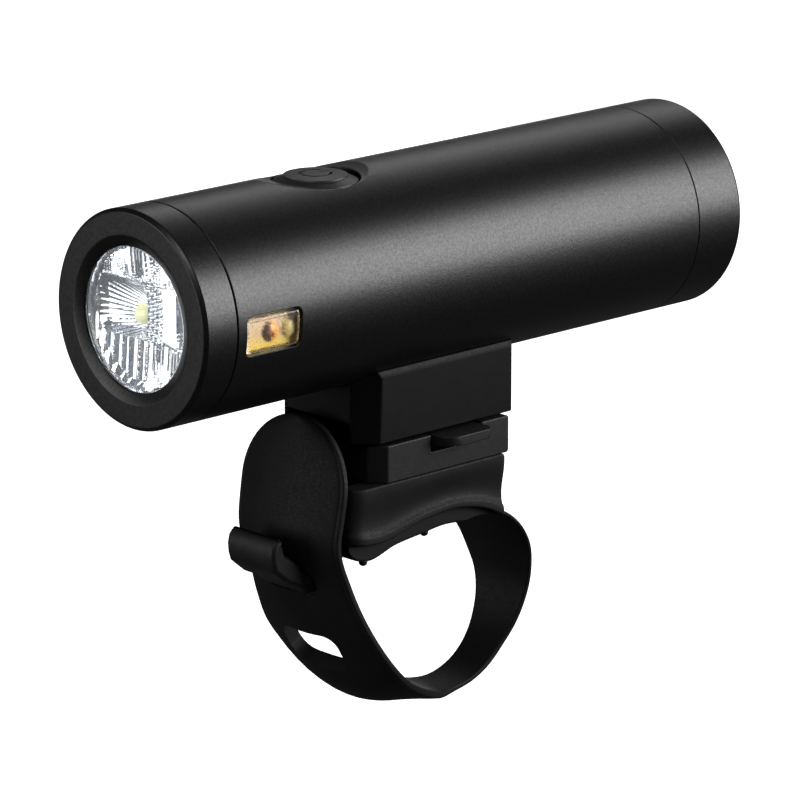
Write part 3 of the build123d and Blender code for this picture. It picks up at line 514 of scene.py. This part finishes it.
LENS_BACK = 1.6
LENS_RADIUS = 11.4
lens = turned([
    (0.75, 0.0), (0.75, 9.55), (0.85, 9.8), (1.12, 9.8), (1.12, LENS_RADIUS), (1.25, 11.7), (1.5, 11.7),
    (LENS_BACK, LENS_RADIUS), (LENS_BACK, 0.0),
], 128)
shade(lens, 25)
hand_over(lens, "front_lens_disc", "lamp", "clear_lens", clear_plastic, "front_lens")

# The reflector's sizes in mm. Places across it are counted from the lamp's axis, to the right and up.
REFLECTOR_FRONT = 1.7
REFLECTOR_BACK = 5.1
REFLECTOR_RADIUS = 9.9
RING_STEP = 0.09
SET_IN = 0.1
LED_SIDE = -0.6
LED_UP = 0.2
# The well round the LED, with a round left end. Its floor falls away to the right as far as the LED, with
# ribs that fan out to the LED, and rises again in a rippled right half.
WELL_LOW = -2.9
WELL_HIGH = 5.2
WELL_LEFT = -8.3
WELL_RIGHT = 7.6
WELL_CORNER = 2.2
WELL_RIM = 0.7
WELL_MIDDLE = 0.9
WELL_HALF_HEIGHT = 4.2
WELL_WALL = 1.2
LEFT_DEPTH = 1.0
LEFT_FALL = 0.15
RIGHT_DEPTH = 1.45
RIGHT_RISE = 0.17
RIBS_REACH = 1.3
RIB_PITCH = 0.34
RIB_SPREAD = 0.07
RIB_DEPTH = 0.13
RIPPLE_PITCH = 1.05
RIPPLE_WAVER = 0.3
RIPPLE_HEIGHT = 0.26
RIPPLES_END = 4.4
# The flutes below the well, as far as FLUTES_END, and the fine steps on the rest of the face, which leans
# back towards its middle. Both waver a little across the face, and fade out at its rim.
LEAN = 0.5
LEAN_RADIUS = 9.5
LEAN_RUN = 6
FLUTE_PITCH = 1.6
FLUTE_DEPTH = 0.8
FLUTE_WAVER = 0.1
FLUTES_END = 1.2
STEP_PITCH = 0.75
STEP_HEIGHT = 0.2
STEP_WAVER = 0.3
STEP_FADE = 0.5


def trough(share):
    """The depth of a round groove at a share of its width: 0 at both edges, 1 in the middle."""
    return math.sqrt(max(0.0, 1 - (2 * (share % 1.0) - 1) ** 2))


def well_edge(x, z):
    """How far a place lies inside the well's outline, which has a round left end."""
    across = x - WELL_LEFT
    along = min(WELL_HIGH - z, z - WELL_LOW)
    if across < WELL_CORNER and along < WELL_CORNER:
        return WELL_CORNER - math.hypot(WELL_CORNER - across, WELL_CORNER - along)
    return min(across, along, WELL_RIGHT - x)


def well_depth(x, z, edge):
    """The reflector's depth in the well, at a distance from the well's edge."""
    middle = (z - WELL_MIDDLE) / WELL_HALF_HEIGHT
    bowl = math.sqrt(max(0.0, 1 - middle * middle))
    if x < LED_SIDE + RIBS_REACH:
        wall = min(1.0, edge / WELL_WALL) ** 0.5
        fan = (z - LED_UP) / (RIB_PITCH + RIB_SPREAD * abs(x - LED_SIDE))
        return SET_IN + wall * bowl * (LEFT_DEPTH + LEFT_FALL * (x - WELL_LEFT)) + RIB_DEPTH * trough(fan)
    depth = max(0.0, RIGHT_DEPTH - RIGHT_RISE * (x - LED_SIDE)) * bowl
    waver = RIPPLE_WAVER * math.sin(math.tau * z / RIPPLE_PITCH + x)
    ripple = math.sin(math.tau * (x / RIPPLE_PITCH + waver))
    return SET_IN + depth + RIPPLE_HEIGHT * ripple * min(1.0, max(0.0, RIPPLES_END - x))


def reflector_depth(x, z):
    """How far the reflector's face lies behind its rim, at a place across it."""
    rim = REFLECTOR_RADIUS - math.hypot(x, z)
    if rim < 0:
        return 0.0
    edge = well_edge(x, z)
    if edge > 0 and rim > WELL_RIM:
        return well_depth(x, z, edge)
    lean = LEAN * (LEAN_RADIUS - abs(z)) / LEAN_RUN
    if z < 0 and x < FLUTES_END:
        groove = trough(x / FLUTE_PITCH + 0.5 + FLUTE_WAVER * math.sin(1.7 * x))
        fade = min(1.0, rim / (0.35 + 0.9 * groove)) ** 0.5
        return (SET_IN + lean + FLUTE_DEPTH * groove) * fade
    share = x / STEP_PITCH + STEP_WAVER * math.sin(1.9 * x)
    return (SET_IN + lean + STEP_HEIGHT * (1 - share % 1.0)) * min(1.0, rim / STEP_FADE) ** 0.5


face_rings = round(REFLECTOR_RADIUS / RING_STEP) + 1
reflector = turned(
    [(REFLECTOR_FRONT, RING_STEP * ring) for ring in range(face_rings)]
    + [(REFLECTOR_FRONT, 10.3), (REFLECTOR_FRONT, 11.6), (1.8, 11.7), (2.8, 11.7), (2.95, 11.3)]
    + [(REFLECTOR_BACK, 5.5), (REFLECTOR_BACK, 0.0)],
    320,
)
for point in reflector.data.vertices:
    x, y, z = point.co / MM
    if y - FRONT < REFLECTOR_FRONT + 0.01:
        point.co.y += reflector_depth(x, z - AXIS) * MM
shade(reflector, 45)
hand_over(reflector, "fluted_reflector", "lamp", "reflector_metal", metallised, "reflector")

LED_HALF = 1.4
LED_FRONT = 3.6
LED_HEIGHT = AXIS + LED_UP
led = block(
    (LED_SIDE - LED_HALF, LED_SIDE + LED_HALF), (FRONT + LED_FRONT, FRONT + REFLECTOR_BACK),
    (LED_HEIGHT - LED_HALF, LED_HEIGHT + LED_HALF),
)
soften(led, 0.1)
dome = turned([
    (2.2, 0.0), (2.24, 0.35), (2.36, 0.7), (2.56, 1.0), (2.85, 1.2), (3.3, 1.25), (3.9, 1.25), (3.9, 0.0),
], 64, (LED_SIDE, LED_HEIGHT))
combine(led, dome, "UNION")
shade(led, 35)
hand_over(led, "main_led", "lamp", "led_phosphor", phosphor, "led_emitter")


# Side windows

PANE_INNER = 13.9
PANE_OUTER = 14.93
PANE_GAP = 0.3
TRAY_INNER = 10.1
TRAY_OUTER = 13.1


def side_shell(side, inner, outer, grow):
    """The part of a thin tube that lies in a side window's outline, grown by a margin."""
    shell = turned([(4, inner), (4, outer), (21, outer), (21, inner)], 384)
    return combine(shell, window_tool(side, grow), "INTERSECT")


for side, side_name in ((1, "right"), (-1, "left")):
    pane = side_shell(side, PANE_INNER, PANE_OUTER, -PANE_GAP)
    soften(pane, 0.28, 40, 4)
    shade(pane, 40)
    hand_over(
        pane, f"window_pane_{side_name}", "lamp", "amber_lens", amber_plastic, f"side_window_{side_name}"
    )
    tray = block(
        sorted((side * TRAY_INNER, side * TRAY_OUTER)), (FRONT + 6.9, FRONT + 19.5), (AXIS - 4.3, AXIS + 2.3)
    )
    soften(tray, 0.2)
    shade(tray)
    hand_over(
        tray, f"light_tray_{side_name}", "lamp", "circuit_board", tray_plastic, f"side_board_{side_name}"
    )

# The LEDs in the windows: a low disc on the tray's face with a flattened ball on it.
DISC_RADIUS = 1.4
DISC_INNER = 13.0
DISC_OUTER = 13.2
BULB_X = 13.15
BULB_RADIUS = 1.1
BULB_SQUASH = (0.55, 1.1, 1.1)
window_led_z = AXIS - 1.2
side_led_parts = []
for side in (1, -1):
    for along, look in ((12.6, orange_phosphor), (16.0, green_phosphor)):
        y = FRONT + along
        disc = rod(
            DISC_RADIUS, (side * DISC_INNER, y, window_led_z), (side * DISC_OUTER, y, window_led_z), 64
        )
        soften(disc, 0.1)
        bpy.ops.mesh.primitive_uv_sphere_add(
            segments=48, ring_count=24, radius=BULB_RADIUS * MM,
            location=Vector((side * BULB_X, y, window_led_z)) * MM, scale=BULB_SQUASH,
        )
        combine(disc, settle(bpy.context.object), "UNION")
        disc.data.materials.clear()
        disc.data.materials.append(look)
        side_led_parts.append(disc)
only(*side_led_parts)
bpy.ops.object.join()
side_leds = bpy.context.object
shade(side_leds, 35)
hand_over(side_leds, "window_leds", "lamp", "led_phosphor", None, "side_leds")


# Power button

BUTTON_TOP = 14.8
FACE_RADIUS = 4.4
FACE_DOME = 0.2
STEP_DOWN = 0.2
STEP_WIDTH = 0.1
SKIRT_SLOPE = 0.3
FLANGE_RADIUS = 6.8
SYMBOL_RADIUS = 2.1
SYMBOL_DEPTH = 0.3
HALF_LINE = 0.19


def cap_height(reach):
    """The cap's height over the lamp's axis: a domed face, a small step and a skirt that falls away."""
    past = reach - FACE_RADIUS
    fall = STEP_DOWN * min(1.0, past / STEP_WIDTH) + SKIRT_SLOPE * past if past > 0 else 0.0
    return BUTTON_TOP - FACE_DOME * (reach / FACE_RADIUS) ** 2 - fall


def at_button(reach, turn, z):
    """A place at a distance from the button's axis and an angle round it."""
    return reach * math.cos(turn), BUTTON_MIDDLE + reach * math.sin(turn), z


cap_reaches = (5.84, 5.6, 5.2, 4.8, 4.55, 4.48, 4.42, 4.38, 4.3, 4.1, 3.6, 3.0, 2.4, 1.7, 1.0, 0.4)
cap_rings = [(BUTTON_RADIUS, 12.4), (BUTTON_RADIUS, 13.5)]
cap_rings += [(reach, cap_height(reach)) for reach in cap_reaches]
button = lofted([
    [at_button(reach, math.tau * number / 128, AXIS + height) for number in range(128)]
    for reach, height in cap_rings
])
# The power symbol: an arc that is open to the rear, with a bar in the opening.
symbol_floor = AXIS + BUTTON_TOP - SYMBOL_DEPTH
arc_turns = [math.radians(angle) for angle in range(117, 424, 9)]
arc_corners = [at_button(SYMBOL_RADIUS + HALF_LINE, turn, symbol_floor) for turn in arc_turns]
arc_corners += [at_button(SYMBOL_RADIUS - HALF_LINE, turn, symbol_floor) for turn in arc_turns[::-1]]
combine(button, extruded(arc_corners, (0, 0, 2)))
combine(button, block(
    (-HALF_LINE, HALF_LINE), (BUTTON_MIDDLE + 0.6, BUTTON_MIDDLE + 2.7), (symbol_floor, symbol_floor + 2)
))
flange = rod(FLANGE_RADIUS, (0, BUTTON_MIDDLE, AXIS + 10.96), (0, BUTTON_MIDDLE, AXIS + 11.5))
neck = rod(BUTTON_RADIUS - 0.2, (0, BUTTON_MIDDLE, AXIS + 11.2), (0, BUTTON_MIDDLE, AXIS + 12.6))
combine(flange, neck, "UNION")
combine(button, flange, "UNION")
shade(button, 20)
hand_over(button, "power_button_cap", "button", "button_plastic", button_plastic, "power_button")


# Pieces that keep their solid's shape, with softened edges

for node, name, body, slot, look, edge in (
    # The foot takes the darker nylon copy, whose colour paints the shade the barrel casts on it.
    ("lamp_foot", "slide_foot", "lamp", "nylon_black", shaded_foot_nylon, 0.22),
    ("mount_base", "rail_base", "bracket", "nylon_black", nylon, 0.22),
    ("release_latch", "release_lever", "latch", "nylon_black", nylon, 0.15),
    ("port_anchor", "cover_anchor", "lamp", "silicone", silicone, 0.12),
    ("port_cover", "port_flap", "cover", "silicone", silicone, 0.12),
):
    hand_over(dressed(node, edge), name, body, slot, look, node)


# Hook

SLOT_Z = 7.865
SLOT_Y = -27.32
HOOK_BACK = -24.6
HOOK_HALF = 4.8
PLATE_HALF = 6.5
PLATE_REAR = 0.6
PLATE_THICKNESS = 2.6
# The finger's front, its head and its top, as steps in Y and Z from the middle of the strap's slot.
finger_steps = (
    (-1.6, -1.3), (-3.1, -0.1), (-5.4, 1.0), (-7.0, 2.3), (-7.8, 3.0), (-8.15, 4.1), (-8.28, 5.5),
    (-8.0, 6.75), (-7.4, 7.4), (-6.85, 7.6), (-6.4, 7.3), (-6.2, 6.2), (-5.9, 5.2), (-4.4, 4.1), (-3.0, 3.1),
    (-1.9, 1.3),
)
hook = slab(
    [
        (HOOK_BACK + 2.4, SADDLE_TOP), (HOOK_BACK + 2.4, SLOT_Z + 2.64), (HOOK_BACK + 1.2, SLOT_Z - 0.58),
        (HOOK_BACK - 0.8, SLOT_Z - 1.3),
    ]
    + [(SLOT_Y + y, SLOT_Z + z) for y, z in finger_steps]
    + [(HOOK_BACK - 1.5, SLOT_Z + 1.3), (HOOK_BACK, SLOT_Z + 3.36), (HOOK_BACK, SADDLE_TOP)],
    HOOK_HALF,
)
soften(hook, 0.7, 45, 5)
plate = block((-PLATE_HALF, PLATE_HALF), (HOOK_BACK, PLATE_REAR), (SADDLE_TOP - PLATE_THICKNESS, SADDLE_TOP))
combine(hook, plate, "UNION")
shade(hook, 35)
hand_over(hook, "strap_hook", "bracket", "nylon_black", nylon, "hook_plate")


# Rubber strap

STAND_OFF = 14.2
CUP_WALL = 2.5
STRAP_EDGE = 0.9
BACK_ROUND = 0.25
FACE_ROUND = 0.35
EDGE_GROOVE = 0.09
GROOVE_SHARE = 0.965
TONGUE_Y = -27.7
TONGUE_LEAN = 0.165
TONGUE_HALF = 10.3
TONGUE_END = 9.9
TONGUE_TOP = 30.5
# The height at which the tongue's back passes TONGUE_Y, what its crown adds to its edge's thickness, and the
# share of the crown that is lost towards the tip.
TONGUE_LEVEL = 15
TONGUE_CROWN = 1.7
TIP_LOSS = 0.65


def smooth_run(stations, spacing):
    """Evenly spaced stations on a smooth curve through these; a station starts with its two places."""
    knots = [0.0]
    for before, after in zip(stations, stations[1:]):
        knots.append(knots[-1] + math.dist(before[:2], after[:2]))
    slopes = []
    for i in range(len(stations)):
        left, right = max(i - 1, 0), min(i + 1, len(stations) - 1)
        rates = []
        for a, b in ((left, i), (i, right)):
            if b > a:
                rates.append([(q - p) / (knots[b] - knots[a]) for p, q in zip(stations[a], stations[b])])
        if len(rates) == 2:
            before, after = knots[i] - knots[left], knots[right] - knots[i]
            rates = [[(p * after + q * before) / (before + after) for p, q in zip(*rates)]]
        slopes.append(rates[0])
    run = []
    count = round(knots[-1] / spacing)
    span = 0
    for number in range(count + 1):
        where = knots[-1] * number / count
        while span < len(knots) - 2 and where > knots[span + 1]:
            span += 1
        length = knots[span + 1] - knots[span]
        t = (where - knots[span]) / length
        start, end = (2 * t + 1) * (1 - t) ** 2, t * t * (3 - 2 * t)
        leave, arrive = length * t * (1 - t) ** 2, length * t * t * (t - 1)
        run.append([
            start * p + leave * s + end * q + arrive * e
            for p, s, q, e in zip(stations[span], slopes[span], stations[span + 1], slopes[span + 1])
        ])
    return run


def round_bar(angle, distance, half_width, thickness, edge):
    """A strap station at an angle round the bar and a distance from its centre."""
    turn = math.radians(angle)
    return distance * math.cos(turn), distance * math.sin(turn), half_width, thickness, edge


# Each row: the angle, then the inner face's distance from the bar, half width, thickness and edge in mm.
strap_rows = (
    (74, 0.3, 8.6, 0.9, 0.6), (58, 0.05, 8.2, 0.85, 0.6), (42, 0.0, 7.8, 0.85, 0.6),
    (25, 0.0, 7.15, 1.0, 0.7), (11, 0.0, 6.4, 1.05, 0.75), (-2, 0.3, 5.5, 1.1, 0.8),
    (-15, 0.4, 4.74, 1.2, 0.9), (-30, 0.5, 4.1, 1.25, 0.9), (-42, 0.6, 3.6, 1.25, 0.9),
    (-60, 0.95, 3.32, 1.2, 0.9), (-72, 1.1, 3.33, 1.15, 0.8),
    (-90, 1.1, 3.6, 1.15, 0.9), (-100, 1.1, 4.6, 1.35, 0.95), (-111, 1.0, 6.0, 1.9, 1.05),
    (-119, 1.0, 7.1, 2.3, 1.1), (-127, 1.3, 8.1, 2.75, 1.05), (-135, 1.98, 9.0, 3.2, 1.0),
    (-142, 2.75, 9.7, 3.9, 0.95), (-150, 3.95, 10.55, 4.3, 0.9), (-160, 5.7, 11.6, 4.2, 0.9),
    (-174, 8.3, 11.7, 3.45, 0.9), (-187.5, 11.36, 10.8, 3.2, 0.9), (-197, STAND_OFF, 10.1, 3.2, 0.9),
)
stations = [round_bar(angle, BAR + off, *sizes) for angle, off, *sizes in strap_rows]
end_middle = TONGUE_TOP - TONGUE_END
stations += [
    (TONGUE_Y, 14.05, 10.05, 2.9, STRAP_EDGE),
    (TONGUE_Y + 0.5, end_middle - 2.5, 10.25, 2.7, STRAP_EDGE),
    (TONGUE_Y + TONGUE_LEAN * (end_middle - TONGUE_LEVEL), end_middle, TONGUE_HALF, 2.6, STRAP_EDGE),
]
run = smooth_run(stations, 0.9)


def strap_ring(place, outward, half_width, thickness, edge, lowered=0.0):
    """One closed ring of the strap.

    It has a cupped back, round edges, a fine groove along each and a crowned face.
    """
    scale = min(1.0, half_width)
    back, front = BACK_ROUND * scale, FACE_ROUND * scale
    cup = max(thickness - CUP_WALL, 0.0)
    sides = []
    for share in (0.0, 0.2, 0.4, 0.6, 0.8, 0.92, 1.0):
        sides.append((share * (half_width - back), lowered + cup * (1 - share ** 2)))
    for turn in (22.5, 45, 67.5, 90):
        angle = math.radians(turn - 90)
        height = lowered + back + back * math.sin(angle) * 0.999
        sides.append((half_width - back + back * math.cos(angle), height))
    face = edge - lowered
    for turn in (0, 22.5, 45, 67.5, 90):
        angle = math.radians(turn)
        sides.append((half_width - front + front * math.cos(angle), face - front + front * math.sin(angle)))
    inner = half_width - front
    for share in (0.985, GROOVE_SHARE, 0.945, 0.9, 0.8, 0.65, 0.5, 0.35, 0.2, 0.07):
        groove = EDGE_GROOVE * scale if share == GROOVE_SHARE else 0.0
        sides.append((share * inner, face + (thickness - edge) * (1 - share ** 2) - groove))
    ring = sides + [(-u, w) for u, w in sides[:0:-1]]
    y, z = place
    return [(u, y + w * outward[0], z + w * outward[1]) for u, w in ring]


rings = []
for i, (y, z, half_width, thickness, edge) in enumerate(run):
    before, after = run[max(i - 1, 0)], run[min(i + 1, len(run) - 1)]
    along = Vector((after[0] - before[0], after[1] - before[1])).normalized()
    if i == len(run) - 1:
        along = Vector((TONGUE_LEAN, 1)).normalized()
    rings.append(strap_ring((y, z), (-along.y, along.x), half_width, thickness, edge))
# The tongue's round end: rings at these angles of a quarter circle, whose back edge is rounded at the tip.
for angle in (6, 12, 18, 24, 30, 36, 42, 48, 53, 58, 62, 66, 70, 73.5, 77, 80, 82.5, 85, 86.5, 88):
    rise = math.sin(math.radians(angle))
    depth = TONGUE_END * (1 - rise)
    lowered = 0.0
    if depth < FACE_ROUND:
        lowered = FACE_ROUND - math.sqrt(FACE_ROUND ** 2 - (FACE_ROUND - depth) ** 2)
    thickness = STRAP_EDGE + TONGUE_CROWN * (1 - TIP_LOSS * rise ** 2)
    level = end_middle + TONGUE_END * rise
    half_width = TONGUE_HALF * math.cos(math.radians(angle))
    middle = (TONGUE_Y + TONGUE_LEAN * (level - TONGUE_LEVEL), level)
    rings.append(strap_ring(middle, (-along.y, along.x), half_width, thickness, STRAP_EDGE, lowered))
strap = lofted(rings)

# The saddle between the bar and the base: a full-width block with hollowed flanks and a lip along its lower
# edge, over a narrower grip pad with two nubs. Both are skinned over cross-sections from the
# front to the rear.
SADDLE_FRONT = -25.6
SADDLE_REAR = 4.6
SADDLE_HALF = 9.7
FRONT_CORNER = 3.0
REAR_CORNER = 1.0
TOP_ROUND = 1.2
SIDE_ROUND = 0.3
PAD_FRONT = -24.8
PAD_HALF = 8.4
PAD_ROUND = 0.4
PAD_OVERLAP = 1.6
NUB_RADIUS = 0.62
NUB_X = 7.8
saddle_under = smooth_run([
    (SADDLE_FRONT, 13.5), (-20.5, 12.95), (-10.75, 14.7), (-5.1, 15.0), (1.15, 13.6), (SADDLE_REAR, 11.84),
], 0.3)
pad_under = smooth_run([
    (PAD_FRONT, 12.2), (-24.1, 11.35), (-21.5, 10.36), (-15.6, 11.6), (-10.0, 12.2), (-7.4, 12.5),
    (SADDLE_REAR, 10.9),
], 0.3)
# The flank from its lip up: shares of the height and how far it is set in.
FLANK = (
    (0.0, 0.0), (0.09, 0.0), (0.13, 0.1), (0.17, 0.38), (0.25, 0.55), (0.38, 0.6), (0.52, 0.48), (0.66, 0.26),
    (0.8, 0.08), (0.9, 0.0),
)


def level_at(line, y):
    """The height of a line of (y, z) places at a place along it."""
    for (y_low, z_low), (y_high, z_high) in zip(line, line[1:]):
        if y <= y_high:
            break
    share = (y - y_low) / (y_high - y_low)
    return z_low + (z_high - z_low) * share


def fall_off(distance, radius):
    """How far a rounded corner has drawn in at a distance from its end."""
    rest = max(0.0, radius - distance)
    return radius - math.sqrt(radius ** 2 - rest ** 2)


def mirrored(half):
    """A closed ring from its right half, which starts and ends in the middle."""
    return half + [(-x, z) for x, z in half[-2:0:-1]]


def saddle_ring(y):
    """One cross-section of the saddle as (x, z) places."""
    from_front, from_rear = y - SADDLE_FRONT, SADDLE_REAR - y
    half_width = SADDLE_HALF - max(fall_off(from_front, FRONT_CORNER), fall_off(from_rear, REAR_CORNER))
    top = SADDLE_TOP - max(fall_off(from_front, TOP_ROUND), fall_off(from_rear, TOP_ROUND))
    low = level_at(saddle_under, y)
    side = half_width - SIDE_ROUND
    half = [(share * half_width, low) for share in (0.0, 0.2, 0.4, 0.6, 0.8, 0.93)]
    for turn in (0.4, 0.8, 1.2):
        half.append((side + SIDE_ROUND * math.sin(turn), low + SIDE_ROUND - SIDE_ROUND * math.cos(turn)))
    rise = top - low - 2 * SIDE_ROUND
    half += [(half_width - inset, low + SIDE_ROUND + share * rise) for share, inset in FLANK]
    for turn in (0, 0.4, 0.8, 1.2, 1.57):
        half.append((side + SIDE_ROUND * math.cos(turn), top - SIDE_ROUND + SIDE_ROUND * math.sin(turn)))
    half += [(share * half_width, top) for share in (0.9, 0.7, 0.5, 0.3, 0.0)]
    return mirrored(half)


def pad_ring(y):
    """One cross-section of the grip pad as (x, z) places."""
    low, top = level_at(pad_under, y), level_at(saddle_under, y) + PAD_OVERLAP
    half = [(share * PAD_HALF, low) for share in (0.0, 0.3, 0.6, 0.85)]
    for turn in (0.2, 0.6, 1.0, 1.4):
        half.append((8.0 + PAD_ROUND * math.sin(turn), low + PAD_ROUND - PAD_ROUND * math.cos(turn)))
    half += [(PAD_HALF, low + 0.45), (PAD_HALF, top), (5.0, top), (2.5, top), (0.0, top)]
    return mirrored(half)


def skinned(ring_at, places):
    """A solid skinned over cross-sections at these places along Y."""
    return lofted([[(x, y, z) for x, z in ring_at(y)] for y in places])


front_steps = [0.0, 0.06, 0.22, 0.45, 0.8, 1.2, 1.8, 2.4, FRONT_CORNER]
rear_steps = [TOP_ROUND, 0.9, 0.6, 0.35, 0.16, 0.05, 0.0]
places = [SADDLE_FRONT + step for step in front_steps]
places += [SADDLE_FRONT + FRONT_CORNER + 0.8 * number for number in range(1, 32)]
places += [SADDLE_REAR - step for step in rear_steps]
saddle = skinned(saddle_ring, places)
pad = skinned(pad_ring, [PAD_FRONT, -24.6, -24.35] + [-24.1 + 0.74 * number for number in range(39)])
for y, z in ((-21.6, 10.3), (-9.9, 12.17)):
    bpy.ops.mesh.primitive_uv_sphere_add(
        segments=24, ring_count=16, radius=NUB_RADIUS * MM, location=Vector((NUB_X, y, z)) * MM,
        scale=(1, 1, 0.9),
    )
    combine(pad, settle(bpy.context.object), "UNION")
combine(pad, rod(BAR, (-30, 0, 0), (30, 0, 0), 256))
combine(saddle, pad, "UNION")
combine(strap, saddle, "UNION")


SLOT_HALF = 5.5
SLOT_REACH = 6.4
SLOT_CORNER = 0.35


def slot_tool(y, z, height, tilt):
    """A slot through the strap, with round corners."""
    tool = block((-SLOT_HALF, SLOT_HALF), (y - SLOT_REACH, y + SLOT_REACH), (z - height / 2, z + height / 2))
    round_edges(tool, runs_along(1), SLOT_CORNER * height)
    edit(tool, "point", everything)
    bpy.ops.transform.rotate(
        value=-math.radians(tilt), orient_axis="X", center_override=Vector((0, y, z)) * MM
    )
    only(tool)
    return tool


# The slot that is on the hook, and the free one, half the strap's thickness out from the loop's inner face.
FREE_REACH = BAR + 8.3 + 1.6
FREE_TURN = math.radians(-173.5)
combine(strap, slot_tool(SLOT_Y, SLOT_Z, 3.6, 0))
combine(strap, slot_tool(FREE_REACH * math.cos(FREE_TURN), FREE_REACH * math.sin(FREE_TURN), 6.6, 33.5))
shade(strap, 40)
hand_over(strap, "strap_with_saddle", "bracket", "strap_rubber", rubber, "rubber_strap")


# Floor, lights and camera

# The floor's size and height are in metres.
WHITE = (1, 1, 1, 1)
FLOOR_SIZE = 8
FLOOR_LEVEL = -0.12
AROUND_STRENGTH = 0.06
bpy.ops.mesh.primitive_plane_add(size=FLOOR_SIZE, location=(0, 0, FLOOR_LEVEL))
floor = bpy.context.object
floor.name = "floor"
# Pale floor: an even white that gives no light of its own to the object.
floor_finish = finish("pale_floor", ("#f4f4f4", "#f8f8f8"), (0.7, 0.8), 4.0, 0.0)
floor_shader = floor_finish.node_tree.nodes["Principled BSDF"]
floor_shader.inputs["Emission Color"].default_value = WHITE
floor_shader.inputs["Emission Strength"].default_value = 1.0
floor.data.materials.append(floor_finish)
floor.visible_glossy = False
floor.visible_diffuse = False
floor.visible_transmission = False

# The surroundings: white where the camera looks, and a faint light on the object.
world = bpy.data.worlds.new("studio")
bpy.context.scene.world = world
world.use_nodes = True
sky = world.node_tree
ray = add_node(sky, "ShaderNodeLightPath", {})
seen = sky.nodes["Background"]
seen.inputs["Color"].default_value = WHITE
around = add_node(sky, "ShaderNodeBackground", {"Color": WHITE, "Strength": AROUND_STRENGTH})
sky_mix = add_node(
    sky, "ShaderNodeMixShader",
    {0: ray.outputs["Is Camera Ray"], 1: around.outputs["Background"], 2: seen.outputs["Background"]},
)
sky.links.new(sky_mix.outputs["Shader"], sky.nodes["World Output"].inputs["Surface"])

LAMP_MIDDLE = Vector((0, -5, AXIS)) * MM


def soft_light(name, direction, distance, size, power):
    """An area light that faces the lamp's middle, with its length along Y as far as it can be."""
    toward = Vector(direction).normalized()
    data = bpy.data.lights.new(name, "AREA")
    data.shape = "RECTANGLE"
    data.size, data.size_y = size
    data.energy = power
    light = bpy.data.objects.new(name, data)
    light.location = LAMP_MIDDLE + toward * distance
    light.rotation_euler = toward.to_track_quat("Z", "Y").to_euler()
    bpy.context.collection.objects.link(light)
    return light


# Each light: the direction it comes from, its distance and size in metres, and its power in watts.
soft_light("key_right", (0.69, 0.67, 0.27), 0.9, (0.6, 0.54), 9.0)
soft_light("rim_left", (-0.47, 0.67, 0.5), 0.9, (0.5, 0.12), 0.65)
soft_light("edge_left", (-0.72, 0.67, -0.12), 0.9, (0.6, 0.2), 0.55)
soft_light("fill_front", (-0.5, -1.0, 0.1), 1.0, (0.6, 0.6), 3.0)
soft_light("top_front", (0.25, -0.65, 0.72), 1.0, (0.4, 0.3), 2.0)
# The panels that light only the lens, the reflector and the LED.
PANEL_DISTANCE = 0.5
behind_lens = bpy.data.collections.new("behind_the_lens")
for piece in (lens, reflector, led):
    behind_lens.objects.link(piece)
for name, direction, size, power in (
    ("lens_panel_left", (-0.95, -0.32, -0.2), (0.28, 0.4), 0.9),
    ("lens_panel_middle", (-0.3, -1.0, -0.15), (0.26, 0.35), 0.2),
    ("lens_panel_right", (0.4, -1.0, 0.3), (0.3, 0.3), 0.9),
):
    soft_light(name, direction, PANEL_DISTANCE, size, power).light_linking.receiver_collection = behind_lens

# The camera looks at a place under the lamp, from its front right and slightly from above.
TARGET = Vector((0, -6.978, 29.108)) * MM
AZIMUTH = math.radians(45.92)
ELEVATION = math.radians(15.056)
CAMERA_DISTANCE = 0.6931
FOCAL_LENGTH = 223.7
SENSOR_WIDTH = 36
back = Vector((
    math.sin(AZIMUTH) * math.cos(ELEVATION), -math.cos(AZIMUTH) * math.cos(ELEVATION), math.sin(ELEVATION)
))
bpy.ops.object.camera_add(
    location=TARGET + back * CAMERA_DISTANCE, rotation=back.to_track_quat("Z", "Y").to_euler()
)
camera = bpy.context.object
camera.data.lens = FOCAL_LENGTH
camera.data.sensor_width = SENSOR_WIDTH
bpy.context.scene.camera = camera
bpy.context.scene.view_settings.view_transform = "Standard"
